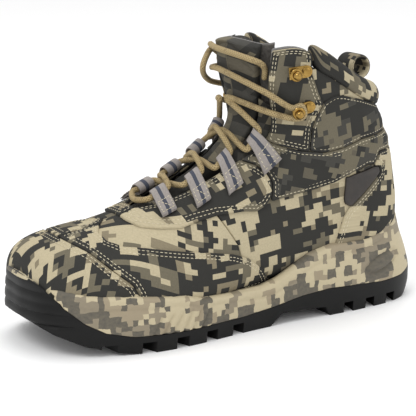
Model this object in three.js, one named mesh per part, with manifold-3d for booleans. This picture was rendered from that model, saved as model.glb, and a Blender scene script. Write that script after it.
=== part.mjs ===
import * as THREE from 'three';
import { mergeVertices } from 'three/addons/utils/BufferGeometryUtils.js';
import Module from 'manifold-3d';

// Left insulated hunting boot. Millimetres, +Z up, toe towards -Y, lateral side towards +X.

// ---------------------------------------------------------------- driving sizes
const LENGTH = 306;            // outsole, toe bumper to heel bumper
const SHAFT_HEIGHT = 190;      // ground to the top of the hook facings
const BALL_WIDTH = 101;        // upper across the ball of the foot
const GAP = 0.35;              // clear space between neighbouring pieces

const WIDE = BALL_WIDTH / 101;
const LONG = LENGTH / 306;
const TALL = SHAFT_HEIGHT / 190;

// Stations of the upper, toe to top line. back = bottom and back edge, front = top and front edge,
// lateral and medial = half widths, belly = where the widest point lies between back and front,
// square and round = how boxy the back and front halves are, shift = sideways lean of the front edge.
const STATIONS = [
  { back: [-149, 38], front: [-149, 47], lateral: 6, medial: 7, belly: 0.5, square: 2.2, round: 2.2, sole: -9, ridge: -9 },
  { back: [-147.5, 30], front: [-147, 57], lateral: 20, medial: 21, belly: 0.5, square: 2.3, round: 2.3, sole: -9, ridge: -9 },
  { back: [-141, 25], front: [-139.5, 65], lateral: 34, medial: 33, belly: 0.42, square: 2.6, round: 2.4, sole: -7, ridge: -8 },
  { back: [-125, 22], front: [-123, 70], lateral: 44.5, medial: 42, belly: 0.36, square: 3, round: 2.35, sole: -4, ridge: -8 },
  { back: [-103, 20], front: [-100, 74], lateral: 50, medial: 46.5, belly: 0.33, square: 3.2, round: 2.25, sole: -2, ridge: -7 },
  { back: [-78, 19], front: [-76, 80], lateral: 52.5, medial: 48.5, belly: 0.31, square: 3.2, round: 2.15, sole: 0, ridge: -7 },
  { back: [-52, 19], front: [-51, 90], lateral: 51.5, medial: 46, belly: 0.3, square: 3.2, round: 2.1, sole: 0, ridge: -6 },
  { back: [-25, 20], front: [-26, 104], lateral: 47.5, medial: 41.5, belly: 0.29, square: 3.1, round: 2.05, sole: 0, ridge: -4 },
  { back: [5, 23], front: [-8, 118], lateral: 43, medial: 38, belly: 0.3, square: 3, round: 2.05, sole: 0, ridge: -3 },
  { back: [36, 26], front: [0, 128], lateral: 41, medial: 37.5, belly: 0.31, square: 3, round: 2.05, sole: 0, ridge: -2 },
  { back: [67, 28], front: [3.5, 136], lateral: 40.5, medial: 38, belly: 0.33, square: 3, round: 2.1, sole: 0, ridge: -1 },
  { back: [97, 28], front: [4.5, 142], lateral: 40, medial: 38, belly: 0.36, square: 2.9, round: 2.15, sole: 0, ridge: 0 },
  { back: [121, 31], front: [4.5, 147], lateral: 40, medial: 38.5, belly: 0.4, square: 2.7, round: 2.2, sole: 0, ridge: 0 },
  { back: [132, 44], front: [4, 152], lateral: 40.5, medial: 39.5, belly: 0.43, square: 2.6, round: 2.25, sole: 0, ridge: 0 },
  { back: [134, 64], front: [3.5, 157], lateral: 41, medial: 40, belly: 0.46, square: 2.5, round: 2.3, sole: 0, ridge: 0 },
  { back: [131.5, 88], front: [2.5, 162], lateral: 42, medial: 41, belly: 0.48, square: 2.4, round: 2.3, sole: 0, ridge: 0 },
  { back: [127, 112], front: [1, 169], lateral: 43, medial: 42, belly: 0.5, square: 2.4, round: 2.35, sole: 0, ridge: 0 },
  { back: [118, 132.5], front: [-1, 179], lateral: 44, medial: 43, belly: 0.5, square: 2.4, round: 2.4, sole: 0, ridge: 0 },
  { back: [112, 149.5], front: [-2, 190], lateral: 45, medial: 44, belly: 0.5, square: 2.4, round: 2.4, sole: 0, ridge: 0 },
];
const LAST = STATIONS.length - 1;

function spline(p0, p1, p2, p3, t) {
  const a = 2 * p1;
  const b = p2 - p0;
  const c = 2 * p0 - 5 * p1 + 4 * p2 - p3;
  const d = 3 * p1 - p0 - 3 * p2 + p3;
  return 0.5 * (a + b * t + c * t * t + d * t * t * t);
}

// One measure of the station table at a fractional station, smooth between rows.
function measure(s, read) {
  if (s > LAST) return read(STATIONS[LAST]) + (s - LAST) * (read(STATIONS[LAST]) - read(STATIONS[LAST - 1]));
  const i = Math.min(LAST - 1, Math.max(0, Math.floor(s)));
  const at = (k) => {
    if (k < 0) return 2 * read(STATIONS[0]) - read(STATIONS[1]);
    if (k > LAST) return 2 * read(STATIONS[LAST]) - read(STATIONS[LAST - 1]);
    return read(STATIONS[k]);
  };
  return spline(at(i - 1), at(i), at(i + 1), at(i + 2), s - i);
}

// The top line rises to a crest where the hook facings meet the collar.
const CREST = 12;
const CREST_FROM = 16.2;
const CREST_PLACE = 0.215;          // turns from the front ridge
const CREST_SPREAD = 0.07;

function crest(s, around) {
  const rise = THREE.MathUtils.smoothstep(s, CREST_FROM, LAST);
  const beside = (Math.abs(around - Math.floor(around) - 0.5) - CREST_PLACE) / CREST_SPREAD;
  return CREST * rise * Math.exp(-beside * beside);
}

// Point on the outer face of the base fabric. around runs 0 at the back or sole edge, 0.25 lateral,
// 0.5 at the front ridge, 0.75 medial.
function facePoint(s, around) {
  const angle = 2 * Math.PI * around;
  const c = Math.cos(angle);
  const si = Math.sin(angle);
  const belly = measure(s, (r) => r.belly);
  const power = 2 / measure(s, (r) => (c > 0 ? r.square : r.round));
  const reach = Math.pow(Math.abs(c), power);
  const t = c > 0 ? belly * (1 - reach) : belly + (1 - belly) * reach;
  const half = measure(s, (r) => (si > 0 ? r.lateral : r.medial)) * WIDE;
  const lean = measure(s, (r) => r.sole) * (1 - t) + measure(s, (r) => r.ridge) * t;
  const x = lean + Math.sign(si) * half * Math.pow(Math.abs(si), power);
  const y = measure(s, (r) => r.back[0]) * (1 - t) + measure(s, (r) => r.front[0]) * t;
  const z = measure(s, (r) => r.back[1]) * (1 - t) + measure(s, (r) => r.front[1]) * t + crest(s, around);
  return new THREE.Vector3(x, y * LONG, z * TALL);
}

// The same point moved off the face by a distance, outwards when positive.
function skinPoint(s, around, off) {
  const e = 0.004;
  const here = facePoint(s, around);
  const alongRing = facePoint(s, around + e).sub(facePoint(s, around - e));
  const lo = Math.max(0, s - 0.05);
  const hi = s + 0.05;
  const alongBoot = facePoint(hi, around).sub(facePoint(lo, around));
  const normal = alongBoot.cross(alongRing).normalize();
  return here.addScaledVector(normal, off);
}

// ---------------------------------------------------------------- layers, as distances from the face
const OVERLAY = [0.35, 1.55];       // outer reinforcements
const BASE = [-1.4, 0];             // fabric of the vamp and quarters
const STIFFENER = [-2.6, -1.75];    // toe puff and heel counter
const BOOTIE = [-7.7, -3.3];        // lining and insulation quilted into one bootie
const FOOTBED_FIT = -8.4;
const TONGUE_PAD = [-10.6, -3.4];     // between the two rows of loops
const TONGUE_WINGS = [-13.2, -8.8]; // under the quarters, against the foot
const GUSSET = [-2.85, -1.85];
const AROUND_STEPS = 18;
const STATION_STEP = 1;
const TOP = LAST;                   // station of the top edge

const wasm = await Module();
wasm.setup();

function toSolid(geometry) {
  const bare = geometry.clone();
  bare.deleteAttribute('normal');
  bare.deleteAttribute('uv');
  const merged = mergeVertices(bare, 1e-4);
  const index = merged.index ? merged.index.array : merged.attributes.position.array.map((v, i) => i);
  return new wasm.Manifold(new wasm.Mesh({
    numProp: 3,
    vertProperties: new Float32Array(merged.attributes.position.array),
    triVerts: new Uint32Array(index),
  }));
}

function toGeometry(solid) {
  const mesh = solid.getMesh();
  const geometry = new THREE.BufferGeometry();
  geometry.setAttribute('position', new THREE.BufferAttribute(new Float32Array(mesh.vertProperties), 3));
  geometry.setIndex(new THREE.BufferAttribute(new Uint32Array(mesh.triVerts), 1));
  return geometry;
}

// Closed solid through a row of closed outlines with the same number of points.
function loft(rows) {
  const count = rows[0].length;
  const points = rows.flat();
  const faces = [];
  for (let i = 0; i < rows.length - 1; i += 1) {
    const here = i * count;
    const next = (i + 1) * count;
    for (let j = 0; j < count; j += 1) {
      const k = (j + 1) % count;
      faces.push(here + j, here + k, next + k, here + j, next + k, next + j);
    }
  }
  for (const end of [0, rows.length - 1]) {
    const middle = rows[end].reduce((sum, p) => sum.clone().add(p), new THREE.Vector3());
    points.push(middle.multiplyScalar(1 / count));
    const hub = points.length - 1;
    for (let j = 0; j < count; j += 1) {
      const a = end * count + j;
      const b = end * count + ((j + 1) % count);
      faces.push(hub, end === 0 ? b : a, end === 0 ? a : b);
    }
  }
  const geometry = new THREE.BufferGeometry().setFromPoints(points);
  geometry.setIndex(faces);
  const solid = toSolid(geometry);
  if (solid.volume() >= 0) return solid;
  for (let f = 0; f < faces.length; f += 3) {
    [faces[f], faces[f + 1]] = [faces[f + 1], faces[f]];
  }
  geometry.setIndex(faces);
  return toSolid(geometry);
}

// One ring of the boot at a station, moved off the face. The first ring closes onto the toe tip.
function ring(s, off) {
  const row = [];
  for (let j = 0; j < AROUND_STEPS; j += 1) {
    row.push(skinPoint(s, j / AROUND_STEPS, off));
  }
  return row;
}

// Solid filled boot shape out to a distance from the face, up to the top edge or a little past it.
function plug(off, past = 0) {
  const rows = [];
  for (let i = 0; i * STATION_STEP <= TOP + 0.01; i += 1) {
    rows.push(ring(i * STATION_STEP, off));
  }
  if (past > 0) rows.push(ring(TOP + past, off));
  const tip = rows[0].map((p) => p.clone().add(new THREE.Vector3(0, -1.2 * LONG, 0)));
  const heart = tip.reduce((sum, p) => sum.clone().add(p), new THREE.Vector3()).multiplyScalar(1 / tip.length);
  rows.unshift(tip.map((p) => p.clone().lerp(heart, 0.5)));
  return loft(rows);
}

function layer(range) {
  return plug(range[1]).subtract(plug(range[0], 0.6));
}

// Prism from a side outline of [y, z] points, between two x positions.
function sidePrism(outline, xFrom, xTo) {
  const shape = new THREE.Shape(outline.map(([y, z]) => new THREE.Vector2(y * LONG, z * TALL)));
  const geometry = new THREE.ExtrudeGeometry(shape, { depth: xTo - xFrom, bevelEnabled: false });
  geometry.applyMatrix4(new THREE.Matrix4().set(0, 0, 1, xFrom, 1, 0, 0, 0, 0, 1, 0, 0, 0, 0, 0, 1));
  return toSolid(geometry);
}

// Outline grown outwards, for the clear space round a neighbour.
function grown(outline, amount) {
  const area = outline.reduce((sum, p, i) => {
    const q = outline[(i + 1) % outline.length];
    return sum + p[0] * q[1] - q[0] * p[1];
  }, 0);
  const way = area > 0 ? 1 : -1;
  return outline.map((p, i) => {
    const a = outline[(i + outline.length - 1) % outline.length];
    const b = outline[(i + 1) % outline.length];
    const u = new THREE.Vector2(p[0] - a[0], p[1] - a[1]).normalize();
    const v = new THREE.Vector2(b[0] - p[0], b[1] - p[1]).normalize();
    const n = new THREE.Vector2(u.y + v.y, -(u.x + v.x)).normalize();
    const reach = (way * amount) / Math.max(0.5, n.dot(new THREE.Vector2(u.y, -u.x)));
    return [p[0] + n.x * reach, p[1] + n.y * reach];
  });
}

// Side outlines of the overlays.
const TOE_SEAM = [[-130, 95], [-127, 72], [-115, 65], [-105, 55], [-93.5, 45], [-90, 38], [-89, 5]];
const FOREFOOT_EDGE = [
  [-81, 95], [-81, 66], [-62, 63], [-36, 59], [-17, 55], [-4, 50], [6, 42], [14, 32], [17, 5],
];
// Over the top of the forefoot the overlays stop round this window, seen from above.
const FOREFOOT_WINDOW = [
  [-7, -88], [3, -96], [12, -100.5], [23, -99.5], [31, -92], [36, -80], [36, -60], [-49, -60], [-49, -80], [-44, -92],
  [-37, -99.5], [-26, -100.5], [-17, -96],
];
const EYESTAY = [
  [-80, 100], [-79.5, 78.5], [-75, 76], [-63, 75], [-51, 75], [-40, 78], [-24, 81], [-5, 81.5], [5, 80.5],
  [12, 83.5], [17, 89], [18.5, 98], [15, 105], [9, 110], [1, 113], [-8, 124], [-20, 140],
];
const BAND_TOP = [[10, 129], [26, 122], [41, 118], [57, 116], [70, 118], [86, 123], [101, 124.5], [150, 128]];
const BAND = [
  [-20, 141], ...BAND_TOP,
  [150, 104], [120, 105], [104, 103.5], [93, 104.5], [80, 100], [65, 94], [51, 91], [30, 88], [18, 86], [5, 90],
];
const FACING = [
  [-20, 205], [43, 205], [43, 173], [49, 158], [53, 151], [48, 141], [46, 134], [46, 113], [24, 117], [6, 123], [-20, 137],
];
const PANEL = [
  [46, 100], [46, 134], [48, 141], [53, 151], [62, 155.5], [69, 155], [85, 151], [103, 145], [117, 140], [150, 138],
  [150, 100],
];
const HEEL = [
  [66, 5], [67, 45], [68, 52], [71, 60], [74, 69], [79, 76], [90, 92], [100, 104], [104, 112], [150, 112], [150, 5],
];
const LABEL = [[74.5, 97], [99, 102], [104, 101.5], [105, 97], [80, 76], [77, 76], [73.5, 79]];
const TOE_CAP = [[-175, 5], [-175, 95], ...TOE_SEAM];
const FOREFOOT = [...FOREFOOT_EDGE, [-175, 5], [-175, 95]];
const BOARD = [
  [-160, 29], [-135, 28.5], [-103, 23.4], [-78, 22.2], [-52, 22.2], [-25, 23.2], [5, 26], [36, 29], [67, 31], [97, 31.2],
  [115, 33], [140, 35], [140, 0], [-160, 0],
];
const FAR = 90;
const BOTH = [-FAR, FAR];
const LATERAL = [GAP / 2, FAR];
const MEDIAL = [-FAR, -GAP / 2];

// Throat: the gap between the two rows of loops, as half widths in turns round the boot.
const THROAT_START = 5.35;
const THROAT_WIDTHS = [
  [5.3, 0.02], [5.8, 0.045], [6.5, 0.062], [7.5, 0.08], [9, 0.1], [11, 0.112], [13, 0.118], [16, 0.124], [18.7, 0.15],
];

function throatHalf(s) {
  for (let i = 1; i < THROAT_WIDTHS.length; i += 1) {
    const [s0, w0] = THROAT_WIDTHS[i - 1];
    const [s1, w1] = THROAT_WIDTHS[i];
    if (s <= s1) return w0 + ((w1 - w0) * Math.max(0, s - s0)) / (s1 - s0);
  }
  return THROAT_WIDTHS[THROAT_WIDTHS.length - 1][1];
}

// Strip along the boot between two edges round it and two distances from the face.
function strip(sFrom, sTo, steps, edges, range, across = 6) {
  const rows = [];
  for (let i = 0; i <= steps; i += 1) {
    const s = sFrom + ((sTo - sFrom) * i) / steps;
    const [from, to] = edges(s);
    const row = [];
    for (let j = 0; j <= across; j += 1) {
      row.push(skinPoint(s, from + ((to - from) * j) / across, range[1]));
    }
    for (let j = across; j >= 0; j -= 1) {
      row.push(skinPoint(s, from + ((to - from) * j) / across, range[0]));
    }
    rows.push(row);
  }
  return loft(rows);
}

// Band running round the boot with a section of [station, distance] points.
function band(section, aroundFrom, aroundTo, steps) {
  const rows = [];
  for (let i = 0; i <= steps; i += 1) {
    const around = aroundFrom + ((aroundTo - aroundFrom) * i) / steps;
    rows.push(section.map(([s, off]) => skinPoint(s, around, off)));
  }
  return loft(rows);
}

const pieces = [];
const FINE = 0.08;                  // detail smaller than this is merged away

// The one body of a cut piece, without the slivers that a cut can leave beside it.
function mainBody(name, solid) {
  const bodies = solid.decompose().sort((a, b) => b.volume() - a.volume());
  if (bodies.length > 1 && bodies[1].volume() > 0.02 * bodies[0].volume()) {
    throw new Error(name + ' falls into ' + bodies.map((b) => b.volume().toFixed(1)).join(', ') + ' cubic mm');
  }
  return bodies[0];
}

function add(name, solid, colour, roughness = 0.85, metalness = 0) {
  const material = new THREE.MeshStandardMaterial({ color: colour, roughness, metalness });
  material.name = name + '_finish';
  const mesh = new THREE.Mesh(toGeometry(mainBody(name, solid.simplify(FINE))), material);
  mesh.name = name;
  pieces.push(mesh);
}

const CAMO_LIGHT = 0xa79d84;
const CAMO_DARK = 0x55534e;
const CAMO_MID = 0x7d776a;
const BLACK_RUBBER = 0x1f1f20;
const LACE_TAN = 0xb0966e;
const WEBBING = 0x9a8c88;
const BRASS = 0xb98d45;
const LABEL_BROWN = 0x2c2420;
const LINING_GREY = 0x4a4744;

// ---------------------------------------------------------------- upper
const throat = strip(THROAT_START, TOP + 0.7, 26, (s) => [0.5 - throatHalf(s), 0.5 + throatHalf(s)], [-8, 8]);

const hookSpots = [
  { s: 17.12, around: 0.315, name: 'upper' },
  { s: 15.45, around: 0.322, name: 'lower' },
];
const RIVET_INSET = 8.4;            // rivet centre from the ball centre, away from the throat
const PLATE_HALF = 4.2;
const COLLAR_CLEAR = 1;             // between the upper hook's plate and the collar

// Length of a whole turn round the boot at a spot, as it runs there.
function turnLength(s, around) {
  const e = 0.01;
  return facePoint(s, around - e).distanceTo(facePoint(s, around + e)) / (2 * e);
}

const upperHook = hookSpots[0];
const hookReach = (RIVET_INSET + PLATE_HALF + COLLAR_CLEAR) / turnLength(upperHook.s, upperHook.around);
const COLLAR_TO = upperHook.around - hookReach;
const COLLAR_FROM = -COLLAR_TO;
const COLLAR_LOW = 17.45;
const COLLAR_ROOM = 0.09;            // clear space under the collar, in stations
const COLLAR_STEPS = 18;
const collarZone = band(
  [[COLLAR_LOW - COLLAR_ROOM, -16], [COLLAR_LOW - COLLAR_ROOM, 8], [TOP + 1, 8], [TOP + 1, -16]],
  COLLAR_FROM - 0.003, COLLAR_TO + 0.003, COLLAR_STEPS,
);

const base = layer(BASE).subtract(throat).subtract(collarZone);
const bootie = layer(BOOTIE).subtract(throat).subtract(collarZone);
const stiffener = layer(STIFFENER);

// Prism from an outline of [x, y] points seen from above.
function topPrism(outline, zFrom, zTo) {
  const shape = new THREE.Shape(outline.map(([x, y]) => new THREE.Vector2(x * WIDE, y * LONG)));
  const geometry = new THREE.ExtrudeGeometry(shape, { depth: (zTo - zFrom) * TALL, bevelEnabled: false });
  geometry.translate(0, 0, zFrom * TALL);
  return toSolid(geometry);
}

const forefootWindow = topPrism(FOREFOOT_WINDOW, 61, 130);
const prism = (outline, sides) => sidePrism(outline, sides[0], sides[1]);
const room = (outline, sides = BOTH) => sidePrism(grown(outline, GAP), sides[0], sides[1]);

const overlay = layer(OVERLAY).subtract(throat).subtract(collarZone).subtract(room(BOARD));

// Overlays, cut in the order in which they lie against each other.

function onSide(around, side) {
  return side > 0 ? around : 1 - around;
}

// Frame on the boot at a spot: out from the face, along the boot upwards, and away from the throat.
function spotFrame(s, around, off, side) {
  const at = skinPoint(s, onSide(around, side), off);
  const out = skinPoint(s, onSide(around, side), off + 1).sub(at).normalize();
  const up = skinPoint(s + 0.05, onSide(around, side), off).sub(at);
  up.addScaledVector(out, -up.dot(out)).normalize();
  const away = skinPoint(s, onSide(around - 0.005, side), off).sub(at);
  away.addScaledVector(out, -away.dot(out)).addScaledVector(up, -away.dot(up)).normalize();
  return { at, out, up, away };
}

function frameMatrix(frame) {
  return new THREE.Matrix4().makeBasis(frame.away, frame.out.clone().cross(frame.away), frame.out).setPosition(frame.at);
}

function placed(geometry, matrix) {
  const copy = geometry.clone();
  copy.applyMatrix4(matrix);
  return toSolid(copy);
}

const RIVET_SHANK = 1.3;
const HOOK_BASE = OVERLAY[1] + GAP + 0.25;

function shaftHole(frame) {
  const hole = new THREE.CylinderGeometry(RIVET_SHANK + 0.3, RIVET_SHANK + 0.3, 14, 8);
  hole.rotateX(Math.PI / 2);
  hole.translate(RIVET_INSET, 0, 0);
  return placed(hole, frameMatrix(frame));
}

const hookFrames = [];
for (const [side, sideName] of [[1, 'lateral'], [-1, 'medial']]) {
  for (const spot of hookSpots) {
    hookFrames.push({ ...spotFrame(spot.s, spot.around, HOOK_BASE, side), side, sideName, level: spot.name });
  }
}
const rivetHoles = hookFrames.map(shaftHole).reduce((all, hole) => all.add(hole));

for (const [side, sideName] of [[LATERAL, 'lateral'], [MEDIAL, 'medial']]) {
  const labelRoom = sideName === 'lateral' ? room(LABEL, LATERAL) : null;
  const spare = (solid) => (labelRoom ? solid.subtract(labelRoom) : solid);
  const forefoot = overlay.intersect(prism(FOREFOOT, side)).subtract(forefootWindow);
  add('forefoot_overlay_' + sideName, forefoot.subtract(room(TOE_CAP)), CAMO_LIGHT);
  const forefootRoom = room(FOREFOOT).subtract(forefootWindow);
  const eyestay = overlay.intersect(prism(EYESTAY, side)).subtract(forefootRoom);
  add('eyestay_' + sideName, eyestay, CAMO_MID);
  const heelRoom = room(HEEL);
  const bandPart = overlay.intersect(prism(BAND, side)).subtract(room(EYESTAY)).subtract(forefootRoom);
  add('ankle_band_' + sideName, spare(bandPart.subtract(heelRoom)), CAMO_DARK);
  const bandRoom = room(BAND);
  const facing = overlay.intersect(prism(FACING, side)).subtract(bandRoom).subtract(rivetHoles);
  add('hook_facing_' + sideName, facing, CAMO_LIGHT);
  const panel = overlay.intersect(prism(PANEL, side)).subtract(bandRoom).subtract(room(FACING)).subtract(heelRoom);
  add('ankle_panel_' + sideName, panel, CAMO_DARK);
}
add('toe_cap', overlay.intersect(prism(TOE_CAP, BOTH)), CAMO_LIGHT);
add('heel_overlay', overlay.intersect(prism(HEEL, BOTH)).subtract(room(LABEL, LATERAL)), CAMO_MID);
add('side_label', overlay.intersect(prism(LABEL, LATERAL)), LABEL_BROWN);

const VAMP = [[-175, 0], [-175, 130], [-40, 130], [-30, 90], [-12, 60], [0, 0]];
const upperBase = base.subtract(room(BOARD)).subtract(rivetHoles);
add('vamp', upperBase.intersect(prism(VAMP, BOTH)), CAMO_MID);
const quarters = upperBase.subtract(room(VAMP));
const QUARTER = [[-60, 0], [-60, 230], [170, 230], [170, 0]];
add('quarter_lateral', quarters.intersect(prism(QUARTER, LATERAL)), CAMO_LIGHT);
add('quarter_medial', quarters.intersect(prism(QUARTER, MEDIAL)), CAMO_LIGHT);
add('lasting_board', layer([BASE[0], OVERLAY[1]]).intersect(prism(BOARD, BOTH)), 0x6b675f);
add('toe_puff', stiffener.intersect(prism([[-175, 30], [-175, 100], [-104, 100], [-100, 30]], BOTH)), 0xb9b2a2);
add('heel_counter', stiffener.intersect(prism([[70, 34], [86, 88], [160, 96], [160, 34]], BOTH)), 0xb9b2a2);
const FOOTBED_TOP = [
  [-128, 37.5], [-103, 34], [-78, 32.5], [-52, 32.5], [-25, 33.5], [5, 37], [36, 41], [67, 44], [97, 46], [112, 48], [122, 53],
];
const footbedOutline = [...FOOTBED_TOP, [122, 0], [-128, 0]];
add('footbed', plug(FOOTBED_FIT).intersect(prism(footbedOutline, BOTH)), 0x35332f);

const COLLAR_SECTION = [
  [COLLAR_LOW, -8.8], [COLLAR_LOW, 0.6], [COLLAR_LOW + 0.16, 3.4], [COLLAR_LOW + 0.45, 5], [COLLAR_LOW + 0.75, 4.4],
  [COLLAR_LOW + 1, 2], [COLLAR_LOW + 1.1, -2.5], [COLLAR_LOW + 1.02, -7.5], [COLLAR_LOW + 0.75, -11],
  [COLLAR_LOW + 0.4, -11.8], [COLLAR_LOW + 0.12, -10.6],
];
add('collar_pad', band(COLLAR_SECTION, COLLAR_FROM, COLLAR_TO, COLLAR_STEPS), CAMO_MID);

// Tongue and its gusset.
const TONGUE_FROM = 5.15;
const TONGUE_RISE = 0.22;            // how far the tongue stands over the facings, in stations
function tongueZone(range, from, extra) {
  return strip(
    from, TOP + 0.5, 22, (s) => [0.5 - throatHalf(s) - extra(s), 0.5 + throatHalf(s) + extra(s)],
    [range[0] - 4, range[1] + 4], 8,
  );
}
function tongueLayer(range, from, extra) {
  return plug(range[1], TONGUE_RISE).subtract(plug(range[0], 0.8)).intersect(tongueZone(range, from, extra));
}
const wings = tongueLayer(TONGUE_WINGS, TONGUE_FROM, (s) => (s < 15 ? 0.06 : 0.06 - 0.05 * Math.min(1, (s - 15) / 1.5)));
const padEdge = (s) => (s < 7 ? -0.014 : -0.033);
const padding = tongueLayer(TONGUE_PAD, THROAT_START + 0.4, padEdge);
const padRoom = tongueZone(TONGUE_PAD, THROAT_START + 0.37, (s) => padEdge(s) + 0.006);
const gussetLayer = layer(GUSSET);
for (const [side, sideName] of [[1, 'lateral'], [-1, 'medial']]) {
  const gussetZone = strip(
    8, 14.6, 8,
    (s) => [onSide(0.5 - throatHalf(s) + 0.03, side), onSide(0.5 - throatHalf(s) - 0.11, side)],
    [GUSSET[0] - 1, GUSSET[1] + 1], 4,
  );
  add('tongue_gusset_' + sideName, gussetLayer.intersect(gussetZone), CAMO_DARK);
}

// ---------------------------------------------------------------- sole unit
const OUTLINE = [
  [-9, -149.5], [6, -148.5], [24, -142], [39, -125.5], [47.5, -102], [52, -77], [51, -51], [47, -25], [43, 3],
  [41, 32], [40.5, 62], [39, 90], [33.5, 115], [19, 130.5], [0, 134.5], [-19, 130.5], [-33.5, 115], [-38, 90], [-38, 62],
  [-38, 32], [-39.5, 3], [-43.5, -25], [-48.5, -51], [-51, -77], [-51.5, -102], [-47, -125.5], [-38, -140], [-24, -148],
];
// Height, margin beyond the upper, and extra reach at the heel and at the toe.
const SOLE_LEVELS = [
  [-2, 2.2, 11, 0], [9, 3.2, 15, 0.5], [22, 4.2, 15, 0.8], [36, 3.8, 11, 0.6], [50, 2.8, 5.5, 0], [66, 2, 1.5, -2],
  [80, 2, 1, -3],
];
const outlineCurve = new THREE.CatmullRomCurve3(
  OUTLINE.map(([x, y]) => new THREE.Vector3(x * WIDE, y * LONG, 0)), true, 'catmullrom', 0.5,
);
const SOLE_STEPS = 44;

function soleRow(level) {
  const [z, margin, heel, toe] = level;
  const row = [];
  for (let i = 0; i < SOLE_STEPS; i += 1) {
    const p = outlineCurve.getPoint(i / SOLE_STEPS);
    const d = outlineCurve.getTangent(i / SOLE_STEPS);
    const heelShare = THREE.MathUtils.smoothstep(p.y, 70 * LONG, 132 * LONG);
    const toeShare = THREE.MathUtils.smoothstep(-p.y, 110 * LONG, 148 * LONG);
    const out = new THREE.Vector3(d.y, -d.x, 0).multiplyScalar(-1);
    if (out.dot(p) < 0) out.multiplyScalar(-1);
    const reach = margin + toe * toeShare;
    const bumper = (heel - margin) * heelShare * heelShare;
    row.push(new THREE.Vector3(p.x + out.x * reach, p.y + out.y * reach + bumper, z * TALL));
  }
  return row;
}

const soleBody = loft(SOLE_LEVELS.map(soleRow)).subtract(plug(OVERLAY[1] + GAP));
const TREAD_LINE = [
  [-175, 53], [-152, 51], [-146, 45], [-137, 33], [-126, 23], [-113, 16], [-95, 12], [-60, 11], [-10, 11.5], [15, 14],
  [38, 18], [60, 20], [85, 19], [108, 17.5], [128, 18.5], [142, 22], [152, 27], [175, 29],
];
const GROUND_LINE = [
  [175, 12], [153, 9], [141, 2], [134, 0], [62, 0], [58, 7], [22, 8], [12, 0], [-88, 0], [-106, 2.5], [-126, 8], [-142, 15],
  [-154, 23], [-175, 26],
];
const FEATHER_LINE = [
  [-175, 46], [-140, 45], [-123, 41], [-105, 39.5], [-90, 38], [-57, 34.5], [-45, 31], [-20, 29.5], [5, 30], [18, 33],
  [29, 38], [46, 47], [63, 51], [95, 51], [108, 54], [119, 63], [129, 68], [175, 69],
];
const outsoleBlock = soleBody.intersect(prism([...TREAD_LINE, ...GROUND_LINE], BOTH));
const bumperCut = [
  [-175, 0], [-175, 60], [-152.5, 51.5], [-146, 45.5], [-137, 33.5], ...TREAD_LINE.slice(4), [175, 0],
];
const midsole = soleBody.intersect(prism([...FEATHER_LINE, [175, 0], [-175, 0]], BOTH)).subtract(room(bumperCut));

// Lugs: grooves cut up from the ground, slanted on each side, with a winding channel down the middle.
const LUG_DEPTH = 7.5;
const grooves = [];
function groove(x, y, turn, length, wide) {
  const cut = new THREE.BoxGeometry(length, wide, LUG_DEPTH * 2 * TALL);
  cut.rotateZ(turn);
  cut.translate(x * WIDE, y * LONG, 0);
  grooves.push(toSolid(cut));
}
const FORE_GROOVES = [-112, -88, -64, -40, -17];
const HEEL_GROOVES = [80, 99, 118];
for (const side of [1, -1]) {
  for (const y of FORE_GROOVES) groove(side * 43, y, side * 0.28, 46, 9);
  for (const y of HEEL_GROOVES) groove(side * 33, y, side * -0.22, 36, 7.5);
  groove(side * 17, -52, 0.04 * side, 4.5, 124);
}
for (const y of [-100, -76, -52, -28, -5]) groove(0, y, 0, 34, 5);
groove(0, 98, 0, 9, 78);
const treadCut = grooves.reduce((all, cut) => all.add(cut));
add('outsole', outsoleBlock.subtract(treadCut), BLACK_RUBBER, 0.9);

// Ribs pressed into the midsole side at the forefoot, and the pod at the heel.
const ribs = [];
for (let i = 0; i < 7; i += 1) {
  const y = -84 + i * 7.5;
  ribs.push(sidePrism([[y, 14.5], [y + 2.2, 14.5], [y + 4.4, 25], [y + 2.2, 25]], 54.6 * WIDE, FAR));
}
const SHANK_TOP = [[-20, 17.6], [5, 20.1], [36, 23.1], [62, 24.9]];
const SHANK_THICK = 2.2;
const SHANK_HALF = 11;
const shankOutline = [...SHANK_TOP, ...SHANK_TOP.map(([y, z]) => [y, z - SHANK_THICK]).reverse()];
const pocketOutline = [
  ...SHANK_TOP.map(([y, z]) => [y, z + 6]), ...SHANK_TOP.map(([y, z]) => [y, z - SHANK_THICK - GAP]).reverse(),
].map(([y, z]) => [y < -15 ? y - GAP : y > 60 ? y + GAP : y, z]);
const shankPocket = sidePrism(pocketOutline, -SHANK_HALF - GAP, SHANK_HALF + GAP);
add('shank', sidePrism(shankOutline, -SHANK_HALF, SHANK_HALF), 0x8b8d90, 0.45, 0.9);
add('midsole', midsole.subtract(shankPocket).subtract(ribs.reduce((all, rib) => all.add(rib))), CAMO_MID, 0.7);

// ---------------------------------------------------------------- lace hardware
const LACE = 4.2;                   // lace diameter
const EYE_INNER = 3.3;              // webbing loop eye, inside radius
const WEB_THICK = 1.1;
const EYE_OFF = EYE_INNER + WEB_THICK + 0.1;   // eye centre above the face
const EYE_REACH = EYE_INNER + WEB_THICK + 0.5; // eye centre beyond the throat edge
const LOOP_WIDE = 12;
const LOOP_TAIL = 15;
const LOOP_FOOT = OVERLAY[1] + GAP + 0.75;
const LOOP_STATIONS = [5.98, 6.88, 8.0, 10.4];
const LOOP_LIFT = [0.9, 0.2, 0, 0.4];   // extra height where the face is hollow along the boot
const LOOP_SLANT = 2.5;             // how far the tail leans down the boot, as the straps are sewn at a slant

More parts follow.
